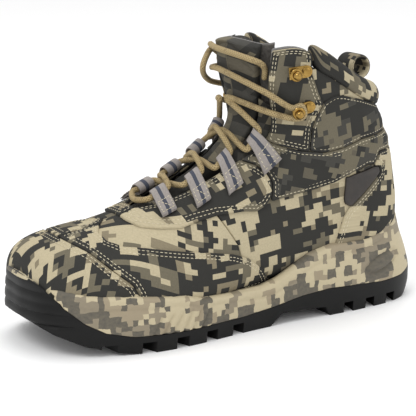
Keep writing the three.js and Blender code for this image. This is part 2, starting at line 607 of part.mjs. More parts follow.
// Skin position measured in millimetres from a spot: away from the throat and up the boot.
function nearSpot(s, around, side, away, up, off) {
  const lift = 0.2;
  const stationLength = facePoint(s + lift, onSide(around, side)).distanceTo(facePoint(s - lift, onSide(around, side)))
    / (2 * lift);
  return skinPoint(s + up / stationLength, onSide(around - away / turnLength(s, onSide(around, side)), side), off);
}

function loopSection(inner) {
  const points = [];
  const radius = inner ? EYE_INNER : EYE_INNER + WEB_THICK;
  const turns = inner ? 9 : 6;
  if (inner) {
    for (let i = 0; i < turns; i += 1) {
      const a = (2 * Math.PI * i) / turns;
      points.push([-EYE_REACH + radius * Math.cos(a), EYE_OFF + radius * Math.sin(a)]);
    }
    return points;
  }
  const topOff = LOOP_FOOT + 2 * WEB_THICK;
  points.push([LOOP_TAIL, LOOP_FOOT], [LOOP_TAIL, topOff], [LOOP_TAIL * 0.5, topOff], [0.5, topOff + 0.2]);
  for (let i = 0; i <= turns; i += 1) {
    const a = Math.PI * (0.3 + (1.4 * i) / turns);
    points.push([-EYE_REACH + radius * Math.cos(a), EYE_OFF + radius * Math.sin(a)]);
  }
  points.push([0.4, LOOP_FOOT], [LOOP_TAIL * 0.5, LOOP_FOOT]);
  return points;
}

const loopFrames = [];
for (const [side, sideName] of [[1, 'lateral'], [-1, 'medial']]) {
  LOOP_STATIONS.forEach((s, i) => {
    const around = 0.5 - throatHalf(s);
    const sweep = (section, reach) => {
      const rows = [];
      for (let k = 0; k <= 2; k += 1) {
        const up = reach * (-0.5 + k / 2);
        rows.push(section.map(([away, off]) => (
          nearSpot(s, around, side, away, up - (LOOP_SLANT * away) / LOOP_TAIL, off + LOOP_LIFT[i])
        )));
      }
      return loft(rows);
    };
    const strap = sweep(loopSection(false), LOOP_WIDE).subtract(sweep(loopSection(true), LOOP_WIDE + 4));
    loopFrames.push({ s, around, side, sideName, index: i + 1, strap });
  });
}

// Ball hooks: a riveted plate with a stem, a flange and a ball.
const BALL = 3;
const NECK = LACE + 2.1;            // free height over the plate, for the lace
function lathe(profile, sides) {
  const geometry = new THREE.LatheGeometry(profile.map(([r, z]) => new THREE.Vector2(r, z)), sides);
  geometry.rotateX(Math.PI / 2);
  return geometry;
}
const stemProfile = [
  [0, 0.2], [1.5, 0.2], [1.5, NECK], [4.3, NECK + 0.3], [4.5, NECK + 0.9], [2.4, NECK + 1.4], [BALL, NECK + 2.9],
  [2.4, NECK + 4.6], [1.3, NECK + 5.5], [0, NECK + 5.8],
];
const plateShape = new THREE.Shape();
plateShape.moveTo(-3.6, -PLATE_HALF);
plateShape.lineTo(RIVET_INSET, -PLATE_HALF);
plateShape.absarc(RIVET_INSET, 0, PLATE_HALF, -Math.PI / 2, Math.PI / 2, false);
plateShape.lineTo(-3.6, PLATE_HALF);
for (const frame of hookFrames) {
  const matrix = frameMatrix(frame);
  const plate = new THREE.ExtrudeGeometry(plateShape, { depth: 1, bevelEnabled: false, curveSegments: 4 });
  const stem = placed(lathe(stemProfile, 10), matrix);
  const body = placed(plate, matrix).add(stem).subtract(shaftHole(frame));
  add('lace_hook_' + frame.sideName + '_' + frame.level, body, BRASS, 0.3, 1);
  const rivetProfile = [
    [0, -2.4], [RIVET_SHANK, -2.4], [RIVET_SHANK, 1 + GAP], [3.3, 1 + GAP], [3, 2], [1.8, 2.4], [0, 2],
  ];
  const rivet = lathe(rivetProfile, 10);
  rivet.translate(RIVET_INSET, 0, 0);
  add('hook_rivet_' + frame.sideName + '_' + frame.level, placed(rivet, matrix), BRASS, 0.3, 1);
}

// Heel pull loop: a folded strap standing on the collar.
const PULL = { y: 107.5, rise: 9, reach: 8.5, thick: 2.8, wide: 20 };
const collarCrown = skinPoint(COLLAR_LOW + 1.1, 0, -4).z;
const pullCentre = collarCrown + 1.2 + PULL.rise;
const pullShape = new THREE.Shape();
pullShape.absellipse(0, 0, PULL.reach, PULL.rise, 0, 2 * Math.PI);
const pullHole = new THREE.Path();
pullHole.absellipse(0, 0, PULL.reach - PULL.thick, PULL.rise - PULL.thick, 0, 2 * Math.PI);
pullShape.holes.push(pullHole);
const pull = new THREE.ExtrudeGeometry(pullShape, { depth: PULL.wide, bevelEnabled: false, curveSegments: 9 });
pull.applyMatrix4(new THREE.Matrix4().set(
  0, 0, 1, -PULL.wide / 2, 1, 0, 0, PULL.y * LONG, 0, 1, 0, pullCentre, 0, 0, 0, 1,
));
add('heel_pull_loop', toSolid(pull), CAMO_LIGHT);

// ---------------------------------------------------------------- lace
// Way points: through the loops level by level, then round the hooks; both ends go down inside the shaft.
const eyePoint = (side, level, up) => {
  const frame = loopFrames.find((f) => f.side === side && f.index === level);
  return nearSpot(frame.s, frame.around, side, -EYE_REACH, up, EYE_OFF + LOOP_LIFT[level - 1]);
};
const through = (side, level, upwards) => {
  const [low, mid, high] = [-8, 0, 8].map((up) => eyePoint(side, level, up));
  const way = [low, low.clone().lerp(mid, 0.5), mid, mid.clone().lerp(high, 0.5), high];
  return upwards ? way : way.reverse();
};
const UNDER = 1.2;
const OVER = 6.4;
const middle = (s, off) => skinPoint(s, 0.5, off);
const roundHook = (side, level, angles, lift = 0) => {
  const frame = hookFrames.find((f) => f.side === side && f.level === level);
  const reach = 1.5 + LACE / 2 + 1.3;
  return angles.map((angle) => frame.at.clone()
    .addScaledVector(frame.out, 1.6 + LACE / 2 + lift)
    .addScaledVector(frame.up, Math.sin(angle) * reach)
    .addScaledVector(frame.away, Math.cos(angle) * reach));
};
const station = (level) => LOOP_STATIONS[level - 1];
const between = (a, b) => (station(a) + station(b)) / 2;
// From the toe bar up one side: the strand that starts on the given side at level one.
function climb(side) {
  const way = [...through(side, 1, true)];
  way.push(middle(between(1, 2), side > 0 ? OVER : UNDER), ...through(-side, 2, true));
  way.push(middle(between(2, 3), side > 0 ? UNDER : OVER), ...through(side, 3, true));
  way.push(middle(between(3, 4), side > 0 ? OVER : UNDER), ...through(-side, 4, true));
  way.push(skinPoint(12.1, onSide(0.44, -side), 2.2));
  return way;
}
// Over the throat edge on the way to or from a hook, and the end tucked in behind the facing.
const overEdge = (side, s, off = 5) => skinPoint(s, onSide(0.5 - throatHalf(s), side), off);
const tucked = (side, s) => [
  skinPoint(s + 0.5, onSide(0.5 - throatHalf(s) + 0.045, side), 0.2),
  skinPoint(s + 0.3, onSide(0.5 - throatHalf(s) + 0.02, side), -2.4),
  skinPoint(s, onSide(0.5 - throatHalf(s) + 0.0135, side), -5.2),
  skinPoint(s - 0.7, onSide(0.5 - throatHalf(s - 0.7) + 0.0135, side), -5.2),
];
const lateralEnd = [
  middle(13.2, UNDER), overEdge(1, 14.3),
  ...roundHook(1, 'lower', [-2.2, -0.9, 0.9, 2.2]),
  overEdge(1, 15.9), middle(16.35, UNDER), overEdge(-1, 16.7),
  ...roundHook(-1, 'upper', [-2.2, -0.9, 0.9, 2.2]),
  overEdge(-1, 17.75, 5), middle(17.7, UNDER),
  ...tucked(1, 17),
];
const medialEnd = [
  middle(13.2, OVER), overEdge(-1, 14.3, 5.4),
  ...roundHook(-1, 'lower', [-2.2, -0.9, 0.9]),
  overEdge(-1, 16, 10), skinPoint(16.7, 0.56, 7.2),
  ...tucked(-1, 17.1),
];
const toeBar = [middle(5.5, 3.6)];
const laceWay = [...lateralEnd.reverse(), ...climb(-1).reverse(), ...toeBar, ...climb(1), ...medialEnd];
const lacePath = new THREE.CatmullRomCurve3(laceWay, false, 'centripetal');
const laceSteps = Math.round(lacePath.getLength() / 6);
function laceTube(radius) {
  const round = new THREE.Shape();
  round.absarc(0, 0, radius, 0, 2 * Math.PI, false);
  return toSolid(new THREE.ExtrudeGeometry(round, {
    steps: laceSteps, extrudePath: lacePath, curveSegments: 4, bevelEnabled: false,
  }));
}
const laceRoom = laceTube(LACE / 2 + 0.25);
add('tongue', wings.add(padding).subtract(laceRoom), CAMO_DARK);
add('insulated_bootie', bootie.subtract(padRoom).subtract(laceRoom), LINING_GREY);
for (const loop of loopFrames) {
  add('lace_loop_' + loop.sideName + '_' + loop.index, loop.strap.subtract(laceRoom), WEBBING, 0.9);
}
add('lace', laceTube(LACE / 2), LACE_TAN, 0.8);

// ---------------------------------------------------------------- assembly
const boot = new THREE.Group();
boot.name = 'insulated_hunting_boot';
for (const mesh of pieces) boot.add(mesh);
export default boot;
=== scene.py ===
"""Insulated hunting boot, left foot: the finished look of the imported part. Metres, +Z up, toe towards -Y."""
import math

import bpy
import numpy as np
from mathutils import Matrix, Vector


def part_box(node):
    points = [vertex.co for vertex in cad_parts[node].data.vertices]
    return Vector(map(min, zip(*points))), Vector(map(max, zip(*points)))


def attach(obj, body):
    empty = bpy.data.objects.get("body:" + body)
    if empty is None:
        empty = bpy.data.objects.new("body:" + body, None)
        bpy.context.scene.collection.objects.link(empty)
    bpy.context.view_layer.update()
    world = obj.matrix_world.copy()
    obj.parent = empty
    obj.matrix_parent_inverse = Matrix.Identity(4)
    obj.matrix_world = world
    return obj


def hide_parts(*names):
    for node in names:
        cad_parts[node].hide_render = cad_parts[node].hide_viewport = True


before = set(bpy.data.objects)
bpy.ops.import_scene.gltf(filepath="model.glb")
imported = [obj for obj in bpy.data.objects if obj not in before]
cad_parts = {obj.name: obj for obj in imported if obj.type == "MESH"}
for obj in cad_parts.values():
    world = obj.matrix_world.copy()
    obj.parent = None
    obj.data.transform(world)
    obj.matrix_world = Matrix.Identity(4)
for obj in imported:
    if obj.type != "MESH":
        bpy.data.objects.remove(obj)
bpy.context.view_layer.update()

bl_info = {
    "name": "Insulated Hunting Boot",
    "version": (1, 0, 0),
    "blender": (4, 5, 0),
    "location": "View3D > Sidebar > Boot",
    "description": "Builds a laced insulated hunting boot in camouflage fabric",
    "category": "Add Mesh",
}

MM = 0.001

# Stations of the upper, toe to top line: back edge y z, front edge y z, lateral and medial half width,
# belly, squareness of the back half, roundness of the front half, sideways lean at the sole and the ridge.
STATIONS = np.array([
    [-149, 38, -149, 47, 6, 7, 0.5, 2.2, 2.2, -9, -9],
    [-147.5, 30, -147, 57, 20, 21, 0.5, 2.3, 2.3, -9, -9],
    [-141, 25, -139.5, 65, 34, 33, 0.42, 2.6, 2.4, -7, -8],
    [-125, 22, -123, 70, 44.5, 42, 0.36, 3, 2.35, -4, -8],
    [-103, 20, -100, 74, 50, 46.5, 0.33, 3.2, 2.25, -2, -7],
    [-78, 19, -76, 80, 52.5, 48.5, 0.31, 3.2, 2.15, 0, -7],
    [-52, 19, -51, 90, 51.5, 46, 0.3, 3.2, 2.1, 0, -6],
    [-25, 20, -26, 104, 47.5, 41.5, 0.29, 3.1, 2.05, 0, -4],
    [5, 23, -8, 118, 43, 38, 0.3, 3, 2.05, 0, -3],
    [36, 26, 0, 128, 41, 37.5, 0.31, 3, 2.05, 0, -2],
    [67, 28, 3.5, 136, 40.5, 38, 0.33, 3, 2.1, 0, -1],
    [97, 28, 4.5, 142, 40, 38, 0.36, 2.9, 2.15, 0, 0],
    [121, 31, 4.5, 147, 40, 38.5, 0.4, 2.7, 2.2, 0, 0],
    [132, 44, 4, 152, 40.5, 39.5, 0.43, 2.6, 2.25, 0, 0],
    [134, 64, 3.5, 157, 41, 40, 0.46, 2.5, 2.3, 0, 0],
    [131.5, 88, 2.5, 162, 42, 41, 0.48, 2.4, 2.3, 0, 0],
    [127, 112, 1, 169, 43, 42, 0.5, 2.4, 2.35, 0, 0],
    [118, 132.5, -1, 179, 44, 43, 0.5, 2.4, 2.4, 0, 0],
    [112, 149.5, -2, 190, 45, 44, 0.5, 2.4, 2.4, 0, 0],
])
TOP = len(STATIONS) - 1
BACK_Y, BACK_Z, FRONT_Y, FRONT_Z, LATERAL, MEDIAL, BELLY, SQUARE, ROUND, SOLE_LEAN, RIDGE_LEAN = range(11)


def measure(s, column):
    """One column of the station table at fractional stations, smooth between rows."""
    values = STATIONS[:, column]
    padded = np.concatenate([[2 * values[0] - values[1]], values, [2 * values[-1] - values[-2]]])
    i = np.clip(np.floor(s).astype(int), 0, TOP - 1)
    t = s - i
    p0, p1, p2, p3 = padded[i], padded[i + 1], padded[i + 2], padded[i + 3]
    inside = 0.5 * (2 * p1 + (p2 - p0) * t + (2 * p0 - 5 * p1 + 4 * p2 - p3) * t * t
                    + (3 * p1 - p0 - 3 * p2 + p3) * t ** 3)
    return np.where(s > TOP, values[-1] + (s - TOP) * (values[-1] - values[-2]), inside)


def smoothstep(x, low, high):
    """Rises smoothly from 0 to 1 between two values."""
    t = np.clip((x - low) / (high - low), 0, 1)
    return t * t * (3 - 2 * t)


# The rise of the top line beside the hook facings: height, first station, turns from the front, spread.
CREST = 12.0
CREST_FROM = 16.2
CREST_PLACE = 0.215
CREST_SPREAD = 0.07


def crest(s, around):
    """Extra height of the top line where the hook facings meet the collar."""
    beside = (np.abs(np.mod(around, 1) - 0.5) - CREST_PLACE) / CREST_SPREAD
    return CREST * smoothstep(s, CREST_FROM, TOP) * np.exp(-beside ** 2)


def face_point(s, around):
    """Points on the outer face of the base fabric, in millimetres."""
    s = np.asarray(s, float)
    angle = 2 * np.pi * np.asarray(around, float)
    c, si = np.cos(angle), np.sin(angle)
    belly = measure(s, BELLY)
    power = 2 / np.where(c > 0, measure(s, SQUARE), measure(s, ROUND))
    reach = np.abs(c) ** power
    t = np.where(c > 0, belly * (1 - reach), belly + (1 - belly) * reach)
    half = np.where(si > 0, measure(s, LATERAL), measure(s, MEDIAL))
    lean = measure(s, SOLE_LEAN) * (1 - t) + measure(s, RIDGE_LEAN) * t
    x = lean + np.sign(si) * half * np.abs(si) ** power
    y = measure(s, BACK_Y) * (1 - t) + measure(s, FRONT_Y) * t
    z = measure(s, BACK_Z) * (1 - t) + measure(s, FRONT_Z) * t + crest(s, around)
    return np.stack([x, y, z], -1)


def face_normal(s, around):
    """Outward unit normals of the face."""
    s = np.asarray(s, float)
    ring = face_point(s, around + 0.004) - face_point(s, around - 0.004)
    along = face_point(s + 0.05, around) - face_point(np.maximum(0, s - 0.05), around)
    normal = np.cross(along, ring)
    return normal / np.linalg.norm(normal, axis=-1, keepdims=True)


def skin(s, around, off):
    """Points off the face by a distance, in millimetres."""
    off = np.asarray(off, float)
    return face_point(s, around) + face_normal(s, around) * off[..., None]


# ------------------------------------------------ sizes shared with the solid model, millimetres
GAP = 0.35
OVERLAY = (0.35, 1.55)
BASE = (-1.4, 0.0)
BOOTIE = (-7.7, -3.3)
TONGUE_PAD = (-10.6, -3.4)
TONGUE_WINGS = (-13.2, -8.8)
GUSSET = (-2.85, -1.85)
COLLAR_LOW = 17.45
THROAT_START = 5.35
THROAT_WIDTHS = np.array([
    [5.3, 0.02], [5.8, 0.045], [6.5, 0.062], [7.5, 0.08], [9, 0.1], [11, 0.112], [13, 0.118], [16, 0.124],
    [18.7, 0.15],
])
TOE_SEAM = [(-130, 95), (-127, 72), (-115, 65), (-105, 55), (-93.5, 45), (-90, 38), (-89, 5)]
FOREFOOT_EDGE = [
    (-81, 95), (-81, 66), (-62, 63), (-36, 59), (-17, 55), (-4, 50), (6, 42), (14, 32), (17, 5),
]
FOREFOOT_WINDOW = [
    (-7, -88), (3, -96), (12, -100.5), (23, -99.5), (31, -92), (36, -80), (36, -60), (-49, -60), (-49, -80),
    (-44, -92), (-37, -99.5), (-26, -100.5), (-17, -96),
]
EYESTAY = [
    (-80, 100), (-79.5, 78.5), (-75, 76), (-63, 75), (-51, 75), (-40, 78), (-24, 81), (-5, 81.5), (5, 80.5),
    (12, 83.5), (17, 89), (18.5, 98), (15, 105), (9, 110), (1, 113), (-8, 124), (-20, 140),
]
BAND_TOP = [(10, 129), (26, 122), (41, 118), (57, 116), (70, 118), (86, 123), (101, 124.5), (150, 128)]
BAND = [(-20, 141)] + BAND_TOP + [
    (150, 104), (120, 105), (104, 103.5), (93, 104.5), (80, 100), (65, 94), (51, 91), (30, 88),
    (18, 86), (5, 90),
]
FACING = [
    (-20, 205), (43, 205), (43, 173), (49, 158), (53, 151), (48, 141), (46, 134), (46, 113), (24, 117),
    (6, 123),
    (-20, 137),
]
PANEL = [
    (46, 100), (46, 134), (48, 141), (53, 151), (62, 155.5), (69, 155), (85, 151), (103, 145), (117, 140),
    (150, 138), (150, 100),
]
HEEL = [
    (66, 5), (67, 45), (68, 52), (71, 60), (74, 69), (79, 76), (90, 92), (100, 104), (104, 112),
    (150, 112), (150, 5),
]
LABEL = [(74.5, 97), (99, 102), (104, 101.5), (105, 97), (80, 76), (77, 76), (73.5, 79)]
TOE_CAP = [(-175, 5), (-175, 95)] + TOE_SEAM
FOREFOOT = FOREFOOT_EDGE + [(-175, 5), (-175, 95)]
BOARD = [
    (-160, 29), (-135, 28.5), (-103, 23.4), (-78, 22.2), (-52, 22.2), (-25, 23.2), (5, 26), (36, 29),
    (67, 31),
    (97, 31.2), (115, 33), (140, 35), (140, 0), (-160, 0),
]
VAMP = [(-175, 0), (-175, 130), (-40, 130), (-30, 90), (-12, 60), (0, 0)]
TREAD_LINE = [
    (-175, 53), (-152, 51), (-146, 45), (-137, 33), (-126, 23), (-113, 16), (-95, 12), (-60, 11),
    (-10, 11.5),
    (15, 14), (38, 18), (60, 20), (85, 19), (108, 17.5), (128, 18.5), (142, 22), (152, 27), (175, 29),
]
GROUND_LINE = [
    (175, 12), (153, 9), (141, 2), (134, 0), (62, 0), (58, 7), (22, 8), (12, 0), (-88, 0), (-106, 2.5),
    (-126, 8),
    (-142, 15), (-154, 23), (-175, 26),
]
FEATHER_LINE = [
    (-175, 46), (-140, 45), (-123, 41), (-105, 39.5), (-90, 38), (-57, 34.5), (-45, 31), (-20, 29.5),
    (5, 30),
    (18, 33), (29, 38), (46, 47), (63, 51), (95, 51), (108, 54), (119, 63), (129, 68), (175, 69),
]
SOLE_OUTLINE = np.array([
    (-9, -149.5), (6, -148.5), (24, -142), (39, -125.5), (47.5, -102), (52, -77), (51, -51), (47, -25),
    (43, 3),
    (41, 32), (40.5, 62), (39, 90), (33.5, 115), (19, 130.5), (0, 134.5), (-19, 130.5), (-33.5, 115),
    (-38, 90),
    (-38, 62), (-38, 32), (-39.5, 3), (-43.5, -25), (-48.5, -51), (-51, -77), (-51.5, -102), (-47, -125.5),
    (-38, -140), (-24, -148),
], float)
SOLE_LEVELS = np.array([
    (-2, 2.2, 11, 0), (9, 3.2, 15, 0.5), (22, 4.2, 15, 0.8), (36, 3.8, 11, 0.6), (50, 2.8, 5.5, 0),
    (66, 2, 1.5, -2),
    (80, 2, 1, -3),
])
LUG_DEPTH = 7.5
# Grooves of the tread, each as place across, turn, length and width.
FORE_GROOVE = (43, 0.28, 46, 9)
HEEL_GROOVE = (33, -0.22, 36, 7.5)
FORE_GROOVES = (-112, -88, -64, -40, -17)
HEEL_GROOVES = (80, 99, 118)
MIDDLE_GROOVES = (-100, -76, -52, -28, -5)
LACE = 4.2
EYE_INNER = 3.3
WEB_THICK = 1.1
EYE_OFF = 4.5
EYE_REACH = 4.9
LOOP_WIDE = 12.0
LOOP_TAIL = 15.0
LOOP_FOOT = OVERLAY[1] + GAP + 0.75
LOOP_STATIONS = (5.98, 6.88, 8.0, 10.4)
LOOP_LIFT = (0.9, 0.2, 0.0, 0.4)
LOOP_SLANT = 2.5
HOOKS = {"upper": (17.12, 0.315), "lower": (15.45, 0.322)}
HOOK_BASE = OVERLAY[1] + GAP + 0.25
RIVET_INSET = 8.4
PLATE_HALF = 4.2
COLLAR_CLEAR = 1.0
PLATE_FRONT = 3.6
STEM_RADIUS = 1.5
NECK = LACE + 2.1
BALL = 3.0


def turn_length(s, around):
    """Length of a whole turn round the boot at a spot, as it runs there."""
    e = 0.01
    return float(np.linalg.norm(face_point([s], around - e)[0] - face_point([s], around + e)[0]) / (2 * e))


COLLAR_EDGE = HOOKS["upper"][1] - (RIVET_INSET + PLATE_HALF + COLLAR_CLEAR) / turn_length(*HOOKS["upper"])


# ------------------------------------------------ fields: distances in millimetres, positive inside
def outline_field(outline, u, v):
    """Signed distance to a closed outline, positive inside it."""
    corners = np.array(outline, float)
    nearest = np.full(u.shape, 1e9)
    inside = np.zeros(u.shape, bool)
    for (ax, ay), (bx, by) in zip(corners, np.roll(corners, -1, axis=0)):
        ex, ey = bx - ax, by - ay
        t = np.clip(((u - ax) * ex + (v - ay) * ey) / (ex * ex + ey * ey), 0, 1)
        nearest = np.minimum(nearest, np.hypot(u - ax - t * ex, v - ay - t * ey))
        if ay != by:
            crosses = ((ay > v) != (by > v)) & (u < ex * (v - ay) / ey + ax)
            inside ^= crosses
    return np.where(inside, nearest, -nearest)


def throat_half(s):
    """Half width of the lacing gap, in turns round the boot."""
    return np.interp(s, THROAT_WIDTHS[:, 0], THROAT_WIDTHS[:, 1])


class Skin:
    """The whole face of the boot as a fine grid of stations and turns, with lengths along it.

    The two station lengths are how far apart stations lie on the forefoot and on the shaft, in millimetres.
    """

    STEP = 1 / 15
    AROUND = 240
    FORE_STATION = 20
    SHAFT_STATION = 21

    def __init__(self):
        s = np.arange(0, TOP + 0.32, self.STEP)
        a = np.linspace(0, 1, self.AROUND + 1)
        self.s, self.a = np.meshgrid(s, a, indexing="ij")
        self.at = skin(self.s, self.a, np.full(self.s.shape, 0.8))
        round_step = np.linalg.norm(np.diff(self.at, axis=1), axis=-1)
        arc = np.concatenate([np.zeros((len(s), 1)), np.cumsum(round_step, axis=1)], axis=1)
        self.girth = np.repeat(arc[:, -1:], len(a), axis=1)
        self.u = arc - arc[:, self.AROUND // 2][:, None]
        along_step = np.linalg.norm(np.diff(self.at, axis=0), axis=-1)
        self.v = np.concatenate([np.zeros((1, len(a))), np.cumsum(along_step, axis=0)], axis=0)
        x, y, z = self.at[..., 0], self.at[..., 1], self.at[..., 2]
        shaft = smoothstep(self.s, 3.0, 6.5)
        side = np.where(self.a < 0.5, 1, -1)
        self.cloth_u = (1 - shaft) * (self.v - 150) + shaft * y
        self.cloth_v = (1 - shaft) * self.u + shaft * side * (z - 88)
        self.heel_u = np.arctan2(x, np.maximum(y - 85, 1)) * 42

    def side(self, outline):
        """Field of a side outline."""
        return outline_field(outline, self.at[..., 1], self.at[..., 2])

    def throat(self):
        """Distance outside the lacing gap."""
        beside = (np.abs(self.a - 0.5) - throat_half(self.s)) * self.girth
        return np.maximum(beside, (THROAT_START - self.s) * self.FORE_STATION)

    def collar(self):
        """Distance outside the padded collar."""
        turn = np.minimum(self.a, 1 - self.a)
        return np.maximum((COLLAR_LOW - self.s) * self.SHAFT_STATION, (turn - COLLAR_EDGE) * self.girth)

    def top(self, station=TOP):
        """Distance under a top edge."""
        return (station - self.s) * self.SHAFT_STATION

    def half(self, side):
        """Distance onto one side of the middle."""
        return side * self.at[..., 0] - GAP / 2

    def window(self):
        """Distance inside the window over the forefoot."""
        seen = outline_field(FOREFOOT_WINDOW, self.at[..., 0], self.at[..., 1])
        return np.minimum(seen, self.at[..., 2] - 61)


STATION, TURN, FIELD, ARC_ROUND, ARC_ALONG, CLOTH_U, CLOTH_V = range(7)


def clipped(grid, field, heel=False):
    """Rows and faces of the grid where the field is positive, before the edge itself is cut."""
    cloth = (grid.heel_u, grid.at[..., 2]) if heel else (grid.cloth_u, grid.cloth_v)
    rows = np.stack([grid.s, grid.a, field, grid.u, grid.v, *cloth], -1).reshape(-1, 7)
    down, across = field.shape
    index = np.arange(down * across).reshape(down, across)
    quads = np.stack([index[:-1, :-1], index[1:, :-1], index[1:, 1:], index[:-1, 1:]], -1).reshape(-1, 4)
    kept = quads[rows[quads, FIELD].max(axis=1) > 0]
    return rows, kept.tolist()


def cut_along(rows, faces, level):
    """Splits the faces along one level of the field. Gives the new rows, the faces and the cut's segments."""
    values = (rows[:, FIELD] - level).tolist()
    extra, result, segments, made = [], [], [], {}
    for face in faces:
        held = [values[i] for i in face]
        if min(held) >= 0 or max(held) <= 0:
            result.append(face)
            continue
        above, below, cut = [], [], []
        for k, a in enumerate(face):
            b = face[(k + 1) % len(face)]
            if values[a] >= 0:
                above.append(a)
            if values[a] <= 0:
                below.append(a)
            if values[a] * values[b] < 0:
                key = (min(a, b), max(a, b))
                if key not in made:
                    t = values[key[0]] / (values[key[0]] - values[key[1]])
                    made[key] = len(rows) + len(extra)
                    extra.append(rows[key[0]] * (1 - t) + rows[key[1]] * t)
                above.append(made[key])
                below.append(made[key])
                cut.append(made[key])
        if len(above) > 2:
            result.append(above)
        if len(below) > 2:
            result.append(below)
        if len(cut) == 2:
            segments.append(tuple(cut))
    if extra:
        rows = np.concatenate([rows, np.array(extra)])
    return rows, result, segments


def chains(segments):
    """Joins segments end to end into runs of row numbers."""
    beside = {}
    for a, b in segments:
        beside.setdefault(a, []).append(b)
        beside.setdefault(b, []).append(a)
    runs, used = [], set()
    starts = [k for k, v in beside.items() if len(v) == 1] + list(beside)
    for start in starts:
        if start in used:
            continue
        run = [start]
        used.add(start)
        while True:
            following = [n for n in beside[run[-1]] if n not in used]
            if not following:
                break
            run.append(following[0])
            used.add(following[0])
        if len(beside[start]) == 2 and start in beside[run[-1]]:
            run.append(start)
        if len(run) > 3:
            runs.append(run)
    return runs


# ---------------------------------------------------------------- mesh helpers
def new_piece(name, points, faces, material, uv=None, smooth=True):
    """Mesh object from points in millimetres, with its uv in metres."""
    mesh = bpy.data.meshes.new(name)
    mesh.from_pydata((np.asarray(points) * MM).tolist(), [], [list(map(int, f)) for f in faces])
    if uv is not None:
        layer = mesh.uv_layers.new(name="cloth")
        corner = np.zeros(len(mesh.loops), int)
        mesh.loops.foreach_get("vertex_index", corner)
        layer.data.foreach_set("uv", (np.asarray(uv)[corner] * MM).ravel())
    mesh.materials.append(material)
    if smooth:
        mesh.shade_smooth()
    mesh.validate()
    piece = bpy.data.objects.new(name, mesh)
    bpy.context.scene.collection.objects.link(piece)
    return piece


def settle(piece, body="boot", nodes=()):
    """Joins a piece to its body and hides the solids that it stands for."""
    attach(piece, body)
    if nodes:
        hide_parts(*nodes)
    return piece


def select_only(piece):
    """Makes a piece the only selected one, and the active one."""
    bpy.ops.object.select_all(action="DESELECT")
    piece.select_set(True)
    bpy.context.view_layer.objects.active = piece


def closed_sheet(faces, count):
    """Faces of a closed piece: a front sheet, the same sheet turned round behind it, and the rim between."""
    edges = dict.fromkeys((f[k], f[(k + 1) % len(f)]) for f in faces for k in range(len(f)))
    back = [[i + count for i in reversed(f)] for f in faces]
    rim = [[b, a, a + count, b + count] for a, b in edges if (b, a) not in edges]
    return faces + back + rim


def inside_faces(rows, faces):
    """Keeps the faces that lie on or inside the field's edge."""
    values = rows[:, FIELD].tolist()
    tiny = 1e-6
    return [f for f in faces if sum(values[i] for i in f) > tiny and min(values[i] for i in f) > -tiny]


def millimetres(length):
    """A length of the settings, which are in metres, in millimetres."""
    return round(length / MM, 4)


def edge_profile(d, radius):
    """Rises from 0 at an edge to 1 at the radius, as a rolled edge does."""
    return np.sqrt(1 - (1 - np.clip(d / radius, 0, 1)) ** 2)


SEAM_ROWS = (1.9, 4.0)
SEAM_DIP = 0.22
STITCHES = {1: [], -1: []}


def panel(name, grid, field, layer, material, turn=0.0, shift=0.0, lift=0.0, puff=0.0, radius=0.9, sewn=False,
          relief=None, heel=False):
    """A piece of cloth lying on the boot: cut from the grid by its field, with rolled edges and seams."""
    rows, faces = clipped(grid, field, heel)
    levels = [0, radius * 0.3, radius]
    if sewn:
        levels += [SEAM_ROWS[0] - 0.6, SEAM_ROWS[0], SEAM_ROWS[0] + 0.7, SEAM_ROWS[1]]
    for level in levels:
        rows, faces, segments = cut_along(rows, faces, level)
        if sewn and level in SEAM_ROWS:
            add_stitches(rows, segments, layer[1] + lift)
    faces = inside_faces(rows, faces)
    used = sorted({i for f in faces for i in f})
    place = {old: new for new, old in enumerate(used)}
    rows = rows[used]
    faces = [[place[i] for i in f] for f in faces]
    d = rows[:, FIELD]
    u, v = rows[:, ARC_ROUND], rows[:, ARC_ALONG]
    ripple = 0.16 * np.sin(u / 7 + 2 * np.sin(v / 13)) + 0.12 * np.sin(v / 6 + 1.7 * np.sin(u / 17))
    off = layer[0] + (layer[1] + lift - layer[0]) * edge_profile(d, radius)
    off = off + np.clip(d / 6, 0, 1) * (puff + ripple)
    if sewn:
        for row in SEAM_ROWS:
            off = off - SEAM_DIP * np.exp(-((d - row) / 0.6) ** 2)
    if relief is not None:
        off = off + relief(rows)
    front = skin(rows[:, STATION], rows[:, TURN], off)
    back = skin(rows[:, STATION], rows[:, TURN], np.minimum(layer[0], off - 0.1))
    c, si = math.cos(turn), math.sin(turn)
    along, up = rows[:, CLOTH_U], rows[:, CLOTH_V]
    cloth = np.stack([c * along - si * up + shift, si * along + c * up + 2.3 * shift], -1)
    solid = closed_sheet(faces, len(rows))
    return new_piece(name, np.concatenate([front, back]), solid, material, np.concatenate([cloth, cloth]))


def feather_height(y):
    """Height of the line where the upper meets the midsole."""
    return np.interp(y, [p[0] for p in FEATHER_LINE], [p[1] for p in FEATHER_LINE])


def add_stitches(rows, segments, off):
    """Lays thread along runs of a seam, kept for the sewing piece of its side."""
    pitch = millimetres(bpy.context.scene.boot_settings.stitch_pitch)
    for run in chains(segments):
        s, a = rows[run, STATION], rows[run, TURN]
        points = skin(s, a, np.full(len(run), off + 0.02))
        outs = face_normal(s, a)
        length = np.concatenate([[0], np.cumsum(np.linalg.norm(np.diff(points, axis=0), axis=-1))])
        for at in np.arange(pitch / 2, length[-1] - pitch / 2, pitch):
            ends = [[np.interp(at + e, length, points[:, k]) for k in range(3)] for e in (-0.8, 0.8)]
            middle = [np.interp(at, length, points[:, k]) for k in range(3)]
            out = [np.interp(at, length, outs[:, k]) for k in range(3)]
            if middle[2] > feather_height(middle[1]) - 2:
                side = 1 if middle[0] > 0 else -1
                STITCHES[side].append((np.array(middle), np.subtract(ends[1], ends[0]), np.array(out)))


